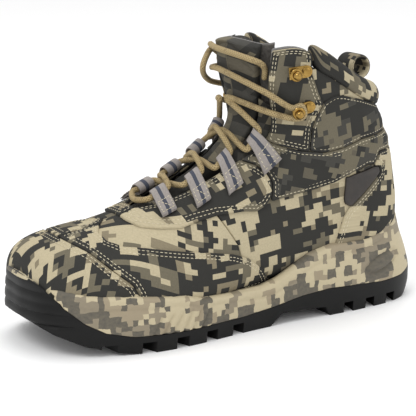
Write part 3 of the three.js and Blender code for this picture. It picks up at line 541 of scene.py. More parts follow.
def sewing(name, stitches, material):
    """One mesh of small rounded thread lengths."""
    settings = bpy.context.scene.boot_settings
    half = millimetres(settings.stitch_length) / 2
    thick = millimetres(settings.thread_thickness) / 2
    ring = np.array([[0, math.cos(t), math.sin(t)] for t in np.arange(5) * 2 * math.pi / 5])
    bead = [[-half, 0, 0]]
    for x, share in ((-0.75, 0.71), (0, 1), (0.75, 0.71)):
        bead += (ring * [0, share * thick, 0.8 * share * thick] + [x, 0, 0]).tolist()
    bead += [[half, 0, 0]]
    bead = np.array(bead)
    faces = []
    for k in range(5):
        n = (k + 1) % 5
        faces += [[0, 1 + n, 1 + k], [16, 11 + k, 11 + n]]
        faces += [[1 + k, 1 + n, 6 + n, 6 + k], [6 + k, 6 + n, 11 + n, 11 + k]]
    points, all_faces = [], []
    for middle, along, out in stitches:
        x = along / np.linalg.norm(along)
        z = out - x * out.dot(x)
        z = z / np.linalg.norm(z)
        y = np.cross(z, x)
        points.append(middle + bead @ np.stack([x, y, z]))
        start = (len(points) - 1) * len(bead)
        all_faces += [[i + start for i in f] for f in faces]
    return new_piece(name, np.concatenate(points), all_faces, material)


# ---------------------------------------------------------------- finishes
def linear(red, green, blue):
    """Scene colour from the usual 0 to 255 values."""
    return tuple((c / 255) ** 2.2 for c in (red, green, blue)) + (1.0,)


class Finish:
    """A material under way: adds nodes and links them."""

    def __init__(self, name, roughness=0.8, metallic=0.0):
        self.material = bpy.data.materials.new(name)
        self.material.use_nodes = True
        self.tree = self.material.node_tree
        self.shader = self.tree.nodes["Principled BSDF"]
        self.shader.inputs["Roughness"].default_value = roughness
        self.shader.inputs["Metallic"].default_value = metallic

    def node(self, kind, settings=None, **inputs):
        """One shader node. Inputs are given by name, or as i and a number."""
        made = self.tree.nodes.new(kind)
        for key, value in (settings or {}).items():
            setattr(made, key, value)
        for key, value in inputs.items():
            socket = made.inputs[int(key[1:])] if key[0] == "i" and key[1:].isdigit() else made.inputs[key]
            if isinstance(value, bpy.types.NodeSocket):
                self.tree.links.new(value, socket)
            else:
                socket.default_value = value
        return made

    def noise(self, vector, scale, detail=2.0):
        """Smooth random values from 0 to 1."""
        return self.node("ShaderNodeTexNoise", Vector=vector, Scale=scale, Detail=detail).outputs["Fac"]

    def maths(self, operation, a, b=0.0):
        """One sum of two values."""
        return self.node("ShaderNodeMath", {"operation": operation}, i0=a, i1=b).outputs[0]

    def mix(self, factor, a, b):
        """Colour between two colours."""
        made = self.node("ShaderNodeMix", {"data_type": "RGBA"})
        for socket, value in ((made.inputs[0], factor), (made.inputs[6], a), (made.inputs[7], b)):
            if isinstance(value, bpy.types.NodeSocket):
                self.tree.links.new(value, socket)
            else:
                socket.default_value = value
        return made.outputs[2]

    def moved(self, vector, by):
        """A place shifted by another."""
        return self.node("ShaderNodeVectorMath", {"operation": "ADD"}, i0=vector, i1=by).outputs[0]

    def colour(self, socket):
        """Sets the finish's colour."""
        self.tree.links.new(socket, self.shader.inputs["Base Color"])

    def bump(self, height, distance, strength=1.0):
        """Adds relief, with its depth in metres."""
        made = self.node("ShaderNodeBump", Height=height, Distance=distance, Strength=strength)
        self.tree.links.new(made.outputs[0], self.shader.inputs["Normal"])

    def cloth(self):
        """The piece's own flat pattern, in metres."""
        return self.node("ShaderNodeUVMap", {"uv_map": "cloth"}).outputs[0]

    def place(self):
        """The place on the piece, in metres."""
        return self.node("ShaderNodeTexCoord").outputs["Object"]


# Camouflage: how coarse its layers of patches are, and the levels past which each tone shows.
BROAD_PATCHES = 27.0
MIDDLE_PATCHES = 62.0
SMALL_SPOTS = 125.0
MIDDLE_ABOVE = 0.585
WARM_BELOW = 0.375
DARK_SPOT_ABOVE = 0.66
LIGHT_SPOT_BELOW = 0.335


def digital_pattern(f, vector, cell, colours, dark_share, smear=0.0):
    """Blocky camouflage: square cells coloured by broad and fine noise."""
    if smear:
        warp = f.node("ShaderNodeTexNoise", Vector=vector, Scale=160.0, Detail=3.0).outputs["Color"]
        pull = f.node("ShaderNodeVectorMath", {"operation": "SCALE"}, i0=warp)
        pull.inputs["Scale"].default_value = smear
        vector = f.moved(vector, pull.outputs[0])
    snap = f.node("ShaderNodeVectorMath", {"operation": "SNAP"}, i0=vector, i1=(cell, cell, cell)).outputs[0]
    broad = f.noise(snap, BROAD_PATCHES, 1.0)
    middle = f.noise(f.moved(snap, (0.31, 0.17, 0.4)), MIDDLE_PATCHES, 1.0)
    spots = f.noise(f.moved(snap, (0.73, 0.52, 0.1)), SMALL_SPOTS, 0.0)
    light, dark, mid, warm = colours
    cloth = f.mix(f.maths("GREATER_THAN", broad, dark_share), dark, light)
    cloth = f.mix(f.maths("GREATER_THAN", middle, MIDDLE_ABOVE), cloth, mid)
    cloth = f.mix(f.maths("LESS_THAN", middle, WARM_BELOW), cloth, warm)
    cloth = f.mix(f.maths("GREATER_THAN", spots, DARK_SPOT_ABOVE), cloth, dark)
    return f.mix(f.maths("LESS_THAN", spots, LIGHT_SPOT_BELOW), cloth, light)


def woven(f, vector, colour, thread=0.0007):
    """Weave relief and a faint change of tone from thread to thread."""
    tone = f.noise(vector, 900.0, 2.0)
    f.colour(f.mix(f.maths("MULTIPLY", tone, 0.34), colour, linear(52, 49, 44)))
    waves = []
    for way in ("X", "Y"):
        wave = f.node("ShaderNodeTexWave", {"bands_direction": way}, Vector=vector, Scale=0.31 / thread)
        waves.append(wave.outputs["Fac"])
    f.bump(f.maths("ADD", f.maths("MULTIPLY", *waves), tone), 0.00025, 0.55)


def camo_finish(name, colours, cell, dark_share):
    """Woven camouflage cloth."""
    f = Finish(name, 0.88)
    vector = f.cloth()
    woven(f, vector, digital_pattern(f, vector, cell, colours, dark_share))
    f.shader.inputs["Specular IOR Level"].default_value = 0.2
    return f.material


def foam_finish(cell):
    """Moulded foam with a smeared, rubbed print."""
    f = Finish("dipped_foam", 0.62)
    vector = f.cloth()
    tones = (linear(184, 172, 142), linear(62, 61, 58), linear(124, 115, 98), linear(142, 130, 108))
    pattern = digital_pattern(f, vector, cell, tones, 0.5, 0.0035)
    rubbed = f.noise(vector, 420.0, 4.0)
    f.colour(f.mix(f.maths("MULTIPLY", rubbed, 0.4), pattern, linear(152, 140, 114)))
    f.bump(f.noise(vector, 700.0, 3.0), 0.0002, 0.5)
    return f.material


def rubber_finish():
    """Black sole rubber with a little dust."""
    f = Finish("black_rubber", 0.5)
    place = f.place()
    dust = f.noise(place, 45.0, 4.0)
    f.colour(f.mix(dust, linear(6, 6, 6), linear(18, 18, 17)))
    f.shader.inputs["Specular IOR Level"].default_value = 0.25
    f.bump(f.noise(place, 1100.0, 2.0), 0.00015, 0.5)
    return f.material


def plain_finish(name, roughness, scale, detail, pale, deep, metallic=0.0):
    """One colour that varies a little from place to place."""
    f = Finish(name, roughness, metallic)
    f.colour(f.mix(f.noise(f.place(), scale, detail), pale, deep))
    return f.material


def brass_finish():
    """Dulled brass of the hooks."""
    f = Finish("brass", 0.27, 1.0)
    place = f.place()
    f.colour(f.mix(f.noise(place, 260.0, 3.0), linear(178, 146, 84), linear(118, 90, 46)))
    f.bump(f.noise(place, 1500.0), 0.00005, 0.4)
    return f.material


def webbing_finish():
    """Ribbed grey webbing with a dark stripe down its middle."""
    f = Finish("webbing", 0.85)
    cloth = f.cloth()
    parts = f.node("ShaderNodeSeparateXYZ", i0=cloth)
    from_middle = f.maths("ABSOLUTE", parts.outputs[0])
    stripe = f.maths("LESS_THAN", from_middle, 0.0014)
    ridges = f.node("ShaderNodeTexWave", {"bands_direction": "Y"}, Vector=cloth, Scale=420.0).outputs["Fac"]
    plain = f.mix(f.noise(cloth, 800.0), linear(162, 155, 150), linear(132, 126, 122))
    f.colour(f.mix(stripe, plain, linear(66, 70, 82)))
    f.bump(ridges, 0.0003, 0.8)
    return f.material


def braid_finish():
    """Round braid of the lace, with a few darker flecks."""
    f = Finish("lace_braid", 0.78)
    cloth = f.cloth()
    braid = []
    for tilt in (0.9, -0.9):
        turned = f.node("ShaderNodeVectorRotate", {"rotation_type": "Z_AXIS"}, Vector=cloth, Angle=tilt)
        wave = f.node("ShaderNodeTexWave", {"bands_direction": "X"}, Vector=turned.outputs[0], Scale=230.0)
        braid.append(wave.outputs["Fac"])
    weave = f.maths("MAXIMUM", braid[0], braid[1])
    base = f.mix(weave, linear(104, 88, 60), linear(172, 152, 110))
    fleck = f.maths("GREATER_THAN", f.noise(cloth, 210.0, 1.0), 0.6)
    f.colour(f.mix(f.maths("MULTIPLY", fleck, 0.35), base, linear(92, 76, 52)))
    f.bump(weave, 0.0004, 0.9)
    return f.material


def fleece_finish():
    """Tufted lining."""
    f = Finish("fleece", 0.95)
    tufts = f.noise(f.place(), 420.0, 5.0)
    f.colour(f.mix(tufts, linear(44, 42, 40), linear(92, 88, 82)))
    f.bump(tufts, 0.0016, 0.9)
    f.shader.inputs["Sheen Weight"].default_value = 0.4
    return f.material


def label_finish():
    """Dark rubber of the side label."""
    f = Finish("label_rubber", 0.45)
    place = f.place()
    f.colour(f.mix(f.noise(place, 160.0, 3.0), linear(30, 27, 25), linear(54, 47, 41)))
    f.bump(f.noise(place, 1400.0), 0.0001, 0.5)
    return f.material


def make_finishes(settings):
    """Every finish of the boot by name."""
    light, dark, middle = (tuple(tone) + (1.0,) for tone in (settings.light, settings.dark, settings.middle))
    cell = settings.cell
    colours = (light, dark, middle, linear(138, 128, 106))
    deep = (middle, dark, linear(72, 71, 67), linear(98, 93, 81))
    return {
        "overlay": camo_finish("camo_overlay_cloth", colours, cell, 0.59),
        "fabric": camo_finish("camo_base_cloth", colours, cell, 0.515),
        "dark": camo_finish("camo_dark_cloth", deep, cell, 0.56),
        "midsole": foam_finish(cell),
        "rubber": rubber_finish(),
        "thread": plain_finish(
            "cream_thread", 0.75, 900.0, 2.0, linear(214, 205, 178), linear(176, 166, 138)),
        "brass": brass_finish(),
        "webbing": webbing_finish(),
        "lace": braid_finish(),
        "fleece": fleece_finish(),
        "label": label_finish(),
        "board": plain_finish(
            "fibre_board", 0.9, 500.0, 4.0, linear(150, 140, 120), linear(110, 100, 84)),
        "steel": plain_finish(
            "brushed_steel", 0.4, 300.0, 2.0, linear(150, 152, 156), linear(120, 122, 126), 1.0),
    }


# ---------------------------------------------------------------- pieces
def label_relief(rows):
    """Raised rim of the label, and a bar inside it."""
    d = rows[:, FIELD]
    bars = np.exp(-((d - 5.5) / 0.7) ** 2)
    return 0.5 * np.exp(-((d - 1.5) / 0.6) ** 2) + 0.35 * bars


def make_upper(grid, looks):
    """Base fabric, overlays and label, with the stitches of their seams."""
    body = np.minimum.reduce([grid.throat(), grid.collar(), grid.top()])
    above_board = np.minimum(body, -grid.side(BOARD) - GAP)
    vamp = np.minimum(above_board, grid.side(VAMP))
    settle(panel("vamp_look", grid, vamp, BASE, looks["fabric"], 0.2, 30), nodes=["vamp"])
    heel, band, facing = grid.side(HEEL), grid.side(BAND), grid.side(FACING)
    toe, eyestay, label = grid.side(TOE_CAP), grid.side(EYESTAY), grid.side(LABEL)
    forefoot = grid.side(FOREFOOT)
    outside_forefoot = np.maximum(-forefoot - GAP, grid.window())
    parts = [
        ("forefoot_overlay", [forefoot, -grid.window(), -toe - GAP], "overlay", 0.0, 0.12, 0.15),
        ("eyestay", [eyestay, outside_forefoot], "overlay", -0.35, 0.35, 0.2),
        ("ankle_band", [band, -eyestay - GAP, outside_forefoot, -heel - GAP], "dark", 0.25, 0.1, 0.7),
        ("hook_facing", [facing, -band - GAP], "overlay", 0.1, 0.3, 0.1),
        ("ankle_panel", [grid.side(PANEL), -band - GAP, -facing - GAP, -heel - GAP], "dark", -0.2, 0.0, 0.9),
    ]
    for side, word, shift in ((1, "lateral", 0), (-1, "medial", 400)):
        half = grid.half(side)
        quarter = np.minimum.reduce([above_board, -grid.side(VAMP) - GAP, half])
        settle(panel("quarter_" + word + "_look", grid, quarter, BASE, looks["fabric"], -0.1, 60 + shift),
               nodes=["quarter_" + word])
        for number, (name, fields, look, turn, lift, puff) in enumerate(parts):
            if side > 0 and name in ("ankle_band", "ankle_panel"):
                fields = fields + [-label - GAP]
            field = np.minimum.reduce(fields + [above_board, half])
            piece = panel(name + "_" + word + "_look", grid, field, OVERLAY, looks[look], turn,
                          90 * number + shift, lift, puff, sewn=True)
            settle(piece, nodes=[name + "_" + word])
    settle(panel("toe_cap_look", grid, np.minimum(toe, above_board), OVERLAY, looks["overlay"], 0.15, 510,
                 0.25, 0.1, sewn=True), nodes=["toe_cap"])
    spare = np.where(grid.at[..., 0] > 0, -label - GAP, 1e3)
    heel_cup = panel("heel_overlay_look", grid, np.minimum.reduce([heel, above_board, spare]), OVERLAY,
                     looks["overlay"], -0.15, 640, 0.3, 0.3, sewn=True, heel=True)
    settle(heel_cup, nodes=["heel_overlay"])
    badge = panel("side_label_look", grid, np.minimum(label, grid.half(1)), OVERLAY, looks["label"],
                  radius=0.7, relief=label_relief)
    settle(badge, nodes=["side_label"])


def tongue_channels(rows):
    """Dips across the tongue where its padding is sewn through."""
    pitch, depth = 21, 1.3
    dip = np.exp(-(((rows[:, ARC_ALONG] / pitch) % 1 - 0.5) / 0.09) ** 2)
    return -depth * dip * np.clip(rows[:, FIELD] / 4, 0, 1)


def make_inside(grid, looks):
    """Quilted bootie, tongue, its wings and gussets."""
    body = np.minimum.reduce([grid.throat(), grid.collar(), grid.top()])
    settle(panel("fleece_bootie_look", grid, body, BOOTIE, looks["fleece"]),
           nodes=["insulated_bootie"])
    beside = np.abs(grid.a - 0.5)
    half = throat_half(grid.s)
    station = grid.FORE_STATION
    start = (grid.s - THROAT_START - 0.4) * station
    edge = np.where(grid.s < 7, -0.014, -0.033)
    pad = np.minimum.reduce([(half + edge - beside) * grid.girth, start, grid.top(TOP + 0.22)])
    tongue = panel("tongue_look", grid, pad, TONGUE_PAD, looks["dark"], 0.5, 220, radius=3.4,
                   relief=tongue_channels)
    settle(tongue, "tongue_body", ["tongue"])
    spread = np.where(grid.s < 15, 0.06, 0.06 - 0.05 * np.clip((grid.s - 15) / 1.5, 0, 1))
    wide = (half + spread - beside) * grid.girth
    wings = np.minimum.reduce([wide, (grid.s - 5.15) * station, grid.top(TOP + 0.2)])
    lining_layer = (TONGUE_WINGS[0], TONGUE_WINGS[1] - 1.9)
    lining = panel("tongue_lining_look", grid, wings, lining_layer, looks["fleece"], radius=1.5)
    settle(lining, "tongue_body")
    for side, word in ((1, "lateral"), (-1, "medial")):
        turn = np.where(side > 0, grid.a, 1 - grid.a)
        across = np.minimum(turn - (0.5 - half - 0.11), (0.5 - half + 0.03) - turn) * grid.girth
        field = np.minimum.reduce([across, (grid.s - 8) * station, (14.6 - grid.s) * station])
        settle(panel("tongue_gusset_" + word + "_look", grid, field, GUSSET, looks["dark"], 0.3, 300),
               nodes=["tongue_gusset_" + word])


def ring_solid(rows, loop=False):
    """Faces through a row of closed outlines, with ends closed unless they meet."""
    count, length = len(rows[0]), len(rows)
    faces = []
    for i in range(length if loop else length - 1):
        here, following = i * count, ((i + 1) % length) * count
        for j in range(count):
            k = (j + 1) % count
            faces.append([here + j, here + k, following + k, following + j])
    if not loop:
        faces.append(list(reversed(range(count))))
        faces.append([(length - 1) * count + j for j in range(count)])
    return faces


def outwards(piece):
    """Turns the faces of a closed piece outwards."""
    select_only(piece)
    bpy.ops.object.mode_set(mode="EDIT")
    bpy.ops.mesh.select_all(action="SELECT")
    bpy.ops.mesh.normals_make_consistent(inside=False)
    bpy.ops.object.mode_set(mode="OBJECT")
    return piece


def smooth_loop(points, steps):
    """Closed smooth curve through points."""
    p = np.array(points, float)
    result = []
    for i in range(len(p)):
        a, b, c, d = p[i - 1], p[i], p[(i + 1) % len(p)], p[(i + 2) % len(p)]
        for t in np.arange(steps) / steps:
            result.append(0.5 * (2 * b + (c - a) * t + (2 * a - 5 * b + 4 * c - d) * t * t
                                 + (3 * b - a - 3 * c + d) * t ** 3))
    return np.array(result)


COLLAR_SECTION = [
    (0, -8.8), (0, 0.6), (0.16, 3.4), (0.45, 5), (0.75, 4.4), (1, 2), (1.1, -2.5), (1.02, -7.5), (0.75, -11),
    (0.4, -11.8), (0.12, -10.6),
]


def squared(value, power):
    """A sine or cosine raised to a power with its sign kept, which squares off a round outline."""
    return math.copysign(abs(value) ** power, value)


def make_collar(looks):
    """Padded roll round the top, gathered a little along its seams."""
    section = smooth_loop(COLLAR_SECTION, 4)
    heart = section.mean(axis=0)
    rows, cloth = [], []
    steps, girth = 150, 330
    for i in range(steps + 1):
        share = i / steps
        turn = COLLAR_EDGE * (2 * share - 1)
        end = min(share, 1 - share) / 0.035
        size = math.sqrt(max(0.05, 1 - (1 - min(1, end)) ** 2))
        pucker = 1 + 0.016 * math.sin(i * 0.9) + 0.012 * math.sin(i * 0.37 + 1)
        shape = heart + (section - heart) * size * [1, pucker]
        around = np.full(len(shape), turn)
        rows.append(skin(COLLAR_LOW + shape[:, 0], around, shape[:, 1]))
        arc = np.concatenate([[0], np.cumsum(np.linalg.norm(np.diff(rows[-1], axis=0), axis=-1))])
        cloth.append(np.stack([np.full(len(shape), turn * girth), arc], -1))
    piece = new_piece("collar_look", np.concatenate(rows), ring_solid(rows), looks["fabric"],
                      np.concatenate(cloth))
    settle(outwards(piece), nodes=["collar_pad"])


def make_pull_loop(looks):
    """Folded strap standing on the collar at the back."""
    low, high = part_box("heel_pull_loop")
    centre = (Vector(low) + Vector(high)) / 2 / MM
    size = (Vector(high) - Vector(low)) / MM
    rows, cloth = [], []
    steps, across = 96, 28
    for i in range(steps):
        angle = 2 * math.pi * i / steps
        row = []
        for j in range(across):
            t = 2 * math.pi * j / across
            wide = squared(math.cos(t), 0.35) * (size.x / 2 - 0.2)
            thick = squared(math.sin(t), 0.6) * 1.35
            y = centre.y + (size.y / 2 - 1.4 + thick) * math.cos(angle)
            z = centre.z + (size.z / 2 - 1.4 + thick) * math.sin(angle)
            row.append((centre.x + wide, y, z))
            cloth.append((wide + (30 if thick > 0 else 0), 55 * i / steps))
        rows.append(np.array(row))
    piece = new_piece("heel_pull_look", np.concatenate(rows), ring_solid(rows, True), looks["fabric"], cloth)
    settle(outwards(piece), "pull_loop_body", ["heel_pull_loop"])


# ---------------------------------------------------------------- loops, hooks and lace
def on_side(around, side):
    """A turn of the lateral side, or the one opposite it on the medial side."""
    return around if side > 0 else 1 - around


def one(s, around, off):
    """A single point off the face."""
    return skin(np.array([s]), np.array([around]), np.array([off]))[0]


def near_spot(s, around, side, away, up, off):
    """A point measured from a spot: away from the lacing gap and up the boot."""
    lift = 0.2
    spot = on_side(around, side)
    above, below = face_point([s + lift], spot)[0], face_point([s - lift], spot)[0]
    station_length = np.linalg.norm(above - below) / (2 * lift)
    return one(s + up / station_length, on_side(around - away / turn_length(s, spot), side), off)


def strap_line():
    """Middle line of a folded strap: distance from the gap's edge and height, from one tail to the other."""
    upper, lower = LOOP_FOOT + 1.7 * WEB_THICK, LOOP_FOOT + 0.55
    radius = EYE_INNER + WEB_THICK / 2
    line = [(LOOP_TAIL, upper), (8, upper), (2, LOOP_FOOT + 2)]
    for i in range(23):
        angle = math.pi * (0.34 + 1.32 * i / 22)
        line.append((-EYE_REACH + radius * math.cos(angle), EYE_OFF + radius * math.sin(angle)))
    return np.array(line + [(0.8, lower), (8, lower), (LOOP_TAIL, lower)])


def slanted(away):
    """How far a strap has run down the boot at a distance from its eye."""
    return -LOOP_SLANT * away / LOOP_TAIL


def strap_rows(s, around, side, raised):
    """Outlines across a strap along its line, and their places on the webbing."""
    line = strap_line()
    along = np.gradient(line, axis=0)
    along /= np.linalg.norm(along, axis=1, keepdims=True)
    normal = np.stack([-along[:, 1], along[:, 0]], -1)
    arc = np.concatenate([[0], np.cumsum(np.linalg.norm(np.diff(line, axis=0), axis=-1))])
    rows, cloth = [], []
    corners = 16
    for k, (away, off) in enumerate(line):
        row = []
        for j in range(corners):
            t = 2 * math.pi * j / corners
            wide = squared(math.cos(t), 0.4) * LOOP_WIDE / 2
            thick = squared(math.sin(t), 0.7) * WEB_THICK / 2
            at_away = away + normal[k, 0] * thick
            at_off = off + normal[k, 1] * thick + raised
            row.append(near_spot(s, around, side, at_away, wide + slanted(away), at_off))
            cloth.append((wide, arc[k]))
        rows.append(np.array(row))
    return rows, cloth


def sew_strap(s, around, side, raised):
    """Adds a strap's stitches: two rows across, one along each edge and a slanted one."""
    across = [(away, up) for away in (3.5, 13) for up in (-4, -1.3, 1.3, 4)]
    edges = [(away, up) for away in (5.5, 8.2, 10.9) for up in (-4.7, 4.7)]
    slant = [(away, away * 0.8 - 6.6) for away in (6, 8.2, 10.4)]
    lift = LOOP_FOOT + 2.25 * WEB_THICK + raised
    for spots, way in ((across, (0, 1)), (edges, (1, 0)), (slant, (1, 0.8))):
        for away, up in spots:
            here = up + slanted(away)
            at = near_spot(s, around, side, away, here, lift)
            far = near_spot(s, around, side, away + way[0], here + way[1], lift)
            out = near_spot(s, around, side, away, here, lift + 1) - at
            STITCHES[side].append((at, far - at, out))


def make_loops(looks):
    """Eight webbing lace loops. Each is a strap folded round its eye, with both ends sewn down."""
    for side, word in ((1, "lateral"), (-1, "medial")):
        for level, s in enumerate(LOOP_STATIONS):
            around = 0.5 - float(throat_half(s))
            rows, cloth = strap_rows(s, around, side, LOOP_LIFT[level])
            name = "lace_loop_" + word + "_" + str(level + 1)
            piece = new_piece(name + "_look", np.concatenate(rows), ring_solid(rows), looks["webbing"], cloth)
            settle(outwards(piece), nodes=[name])
            sew_strap(s, around, side, LOOP_LIFT[level])


def spot_frame(level, side):
    """Place of a hook: point, outwards, up the boot, and away from the gap."""
    s, around = HOOKS[level]
    at = one(s, on_side(around, side), HOOK_BASE)
    out = one(s, on_side(around, side), HOOK_BASE + 1) - at
    out /= np.linalg.norm(out)
    up = one(s + 0.05, on_side(around, side), HOOK_BASE) - at
    up -= out * up.dot(out)
    up /= np.linalg.norm(up)
    away = one(s, on_side(around - 0.005, side), HOOK_BASE) - at
    away -= out * away.dot(out)
    away -= up * away.dot(up)
    away /= np.linalg.norm(away)
    return at, out, up, away


def turned_profile(name, profile, material):
    """A turned metal part: an edge profile spun round Z in edit mode. Sizes in millimetres."""
    mesh = bpy.data.meshes.new(name)
    points = [(r * MM, 0, z * MM) for r, z in profile]
    mesh.from_pydata(points, [(i, i + 1) for i in range(len(points) - 1)], [])
    piece = bpy.data.objects.new(name, mesh)
    bpy.context.scene.collection.objects.link(piece)
    select_only(piece)
    bpy.ops.object.mode_set(mode="EDIT")
    bpy.ops.mesh.select_all(action="SELECT")
    bpy.ops.mesh.spin(steps=40, angle=2 * math.pi, center=(0, 0, 0), axis=(0, 0, 1))
    bpy.ops.mesh.select_all(action="SELECT")
    bpy.ops.mesh.remove_doubles(threshold=0.00002)
    bpy.ops.mesh.normals_make_consistent(inside=False)
    bpy.ops.object.mode_set(mode="OBJECT")
    mesh.materials.append(material)
    mesh.shade_smooth()
    mesh.set_sharp_from_angle(angle=math.radians(50))
    return piece


def round_plate(name, material):
    """Hook plate: a bevelled bar with one round end, over the rivet."""
    outline = [(-PLATE_FRONT, -PLATE_HALF)]
    for i in range(17):
        angle = -math.pi / 2 + math.pi * i / 16
        outline.append((RIVET_INSET + PLATE_HALF * math.cos(angle), PLATE_HALF * math.sin(angle)))
    outline.append((-PLATE_FRONT, PLATE_HALF))
    rows = [[(x, y, z) for x, y in outline] for z in (0, 1)]
    piece = new_piece(name, np.concatenate(np.array(rows)), ring_solid(rows), material, smooth=False)
    outwards(piece)
    bevel = piece.modifiers.new("rounded", "BEVEL")
    bevel.width = 0.25 * MM
    bevel.segments = 2
    bpy.ops.object.modifier_apply(modifier=bevel.name)
    piece.data.shade_smooth()
    piece.data.set_sharp_from_angle(angle=math.radians(40))
    return piece


def hook_place(level, side):
    """Matrix that sets a hook at its spot, with X away from the gap and Z outwards."""
    at, out, up, away = spot_frame(level, side)
    place = Matrix.Identity(4)
    for k, axis in enumerate((away, np.cross(out, away), out)):
        for row in range(3):
            place[row][k] = axis[row]
    for row in range(3):
        place[row][3] = at[row] * MM
    return place


def make_hooks(looks):
    """Four ball hooks and their rivets."""
    stem = [(0, 0.9), (STEM_RADIUS, 0.9), (STEM_RADIUS, NECK), (4.0, NECK + 0.15), (4.4, NECK + 0.5),
            (4.1, NECK + 0.95), (2.6, NECK + 1.2)]
    for i in range(13):
        angle = -0.9 + (math.pi / 2 + 0.9) * i / 12
        stem.append((max(0, BALL * math.cos(angle)), NECK + 3.0 + 2.8 * math.sin(angle)))
    cap = [(0, -2.3), (1.25, -2.3), (1.25, 1.4), (3.1, 1.4), (3.2, 1.7), (2.7, 2.1), (1.5, 2.4), (0, 2.45)]
    for side, word in ((1, "lateral"), (-1, "medial")):
        for level in HOOKS:
            place = hook_place(level, side)
            name = "lace_hook_" + word + "_" + level
            body = turned_profile(name + "_look", stem, looks["brass"])
            plate = round_plate(name + "_plate", looks["brass"])
            select_only(body)
            plate.select_set(True)
            bpy.ops.object.join()
            body.data.transform(place)
            settle(body, nodes=[name])
            rivet = turned_profile("hook_rivet_" + word + "_" + level + "_look", cap, looks["brass"])
            rivet.data.transform(place @ Matrix.Translation((RIVET_INSET * MM, 0, 0)))
            settle(rivet, nodes=["hook_rivet_" + word + "_" + level])


def eye_point(side, level, up):
    """A point on the axis of a loop's eye."""
    s = LOOP_STATIONS[level - 1]
    around = 0.5 - float(throat_half(s))
    return near_spot(s, around, side, -EYE_REACH, up, EYE_OFF + LOOP_LIFT[level - 1])


def through(side, level):
    """Straight run through an eye, upwards."""
    low, mid, high = (eye_point(side, level, up) for up in (-8, 0, 8))
    return [low, (low + mid) / 2, mid, (mid + high) / 2, high]


# Height of the lace over the face in the middle of the gap, where it runs under or over its other half.
UNDER = 1.2
OVER = 6.4


def climb(side):
    """From the toe bar up, crossing at every gap."""
    def middle(a, b, off):
        return one((LOOP_STATIONS[a - 1] + LOOP_STATIONS[b - 1]) / 2, 0.5, off)

    way = through(side, 1)
    way += [middle(1, 2, OVER if side > 0 else UNDER)] + through(-side, 2)
    way += [middle(2, 3, UNDER if side > 0 else OVER)] + through(side, 3)
    way += [middle(3, 4, OVER if side > 0 else UNDER)] + through(-side, 4)
    return way + [one(12.1, on_side(0.44, -side), 2.2)]


def over_edge(side, s, off=5):
    """A point over the edge of the lacing gap."""
    return one(s, on_side(0.5 - float(throat_half(s)), side), off)


def tucked(side, s):
    """The end going down inside the shaft beside the tongue."""
    def beside(at, turn, off):
        return one(at, on_side(0.5 - float(throat_half(at if at < s else s)) + turn, side), off)

    return [beside(s + 0.5, 0.045, 0.2), beside(s + 0.3, 0.02, -2.4), beside(s, 0.0135, -5.2),
            beside(s - 0.7, 0.0135, -5.2)]


def round_hook(side, level, angles):
    """Points round the stem of a hook."""
    at, out, up, away = spot_frame(level, side)
    reach = STEM_RADIUS + LACE / 2 + 1.3
    base = at + out * (1.6 + LACE / 2)
    return [base + up * math.sin(t) * reach + away * math.cos(t) * reach for t in angles]


def lace_points():
    """The lace's whole way, from one tucked end to the other."""
    lateral = [one(13.2, 0.5, UNDER), over_edge(1, 14.3)]
    lateral += round_hook(1, "lower", (-2.2, -0.9, 0.9, 2.2))
    lateral += [over_edge(1, 15.9), one(16.35, 0.5, UNDER), over_edge(-1, 16.7)]
    lateral += round_hook(-1, "upper", (-2.2, -0.9, 0.9, 2.2))
    lateral += [over_edge(-1, 17.75), one(17.7, 0.5, UNDER)] + tucked(1, 17)
    medial = [one(13.2, 0.5, OVER), over_edge(-1, 14.3, 5.4)]
    medial += round_hook(-1, "lower", (-2.2, -0.9, 0.9))
    medial += [over_edge(-1, 16, 10), one(16.7, 0.56, 7.2)] + tucked(-1, 17.1)
    return lateral[::-1] + climb(-1)[::-1] + [one(5.5, 0.5, 3.6)] + climb(1) + medial


def centripetal(points, per):
    """Smooth curve through unevenly spaced points."""
    p = [2 * points[0] - points[1]] + list(points) + [2 * points[-1] - points[-2]]
    result = []
    for i in range(1, len(p) - 2):
        knots = [0.0]
        for k in range(3):
            knots.append(knots[-1] + max(1e-4, np.linalg.norm(p[i + k] - p[i + k - 1]) ** 0.5))
        t0, t1, t2, t3 = knots
        for t in t1 + (t2 - t1) * np.arange(per) / per:
            a1 = p[i - 1] * (t1 - t) / (t1 - t0) + p[i] * (t - t0) / (t1 - t0)
            a2 = p[i] * (t2 - t) / (t2 - t1) + p[i + 1] * (t - t1) / (t2 - t1)
            a3 = p[i + 1] * (t3 - t) / (t3 - t2) + p[i + 2] * (t - t2) / (t3 - t2)
            b1 = a1 * (t2 - t) / (t2 - t0) + a2 * (t - t0) / (t2 - t0)
            b2 = a2 * (t3 - t) / (t3 - t1) + a3 * (t - t1) / (t3 - t1)
            result.append(b1 * (t2 - t) / (t2 - t1) + b2 * (t - t1) / (t2 - t1))
    return np.array(result + [p[-2]])


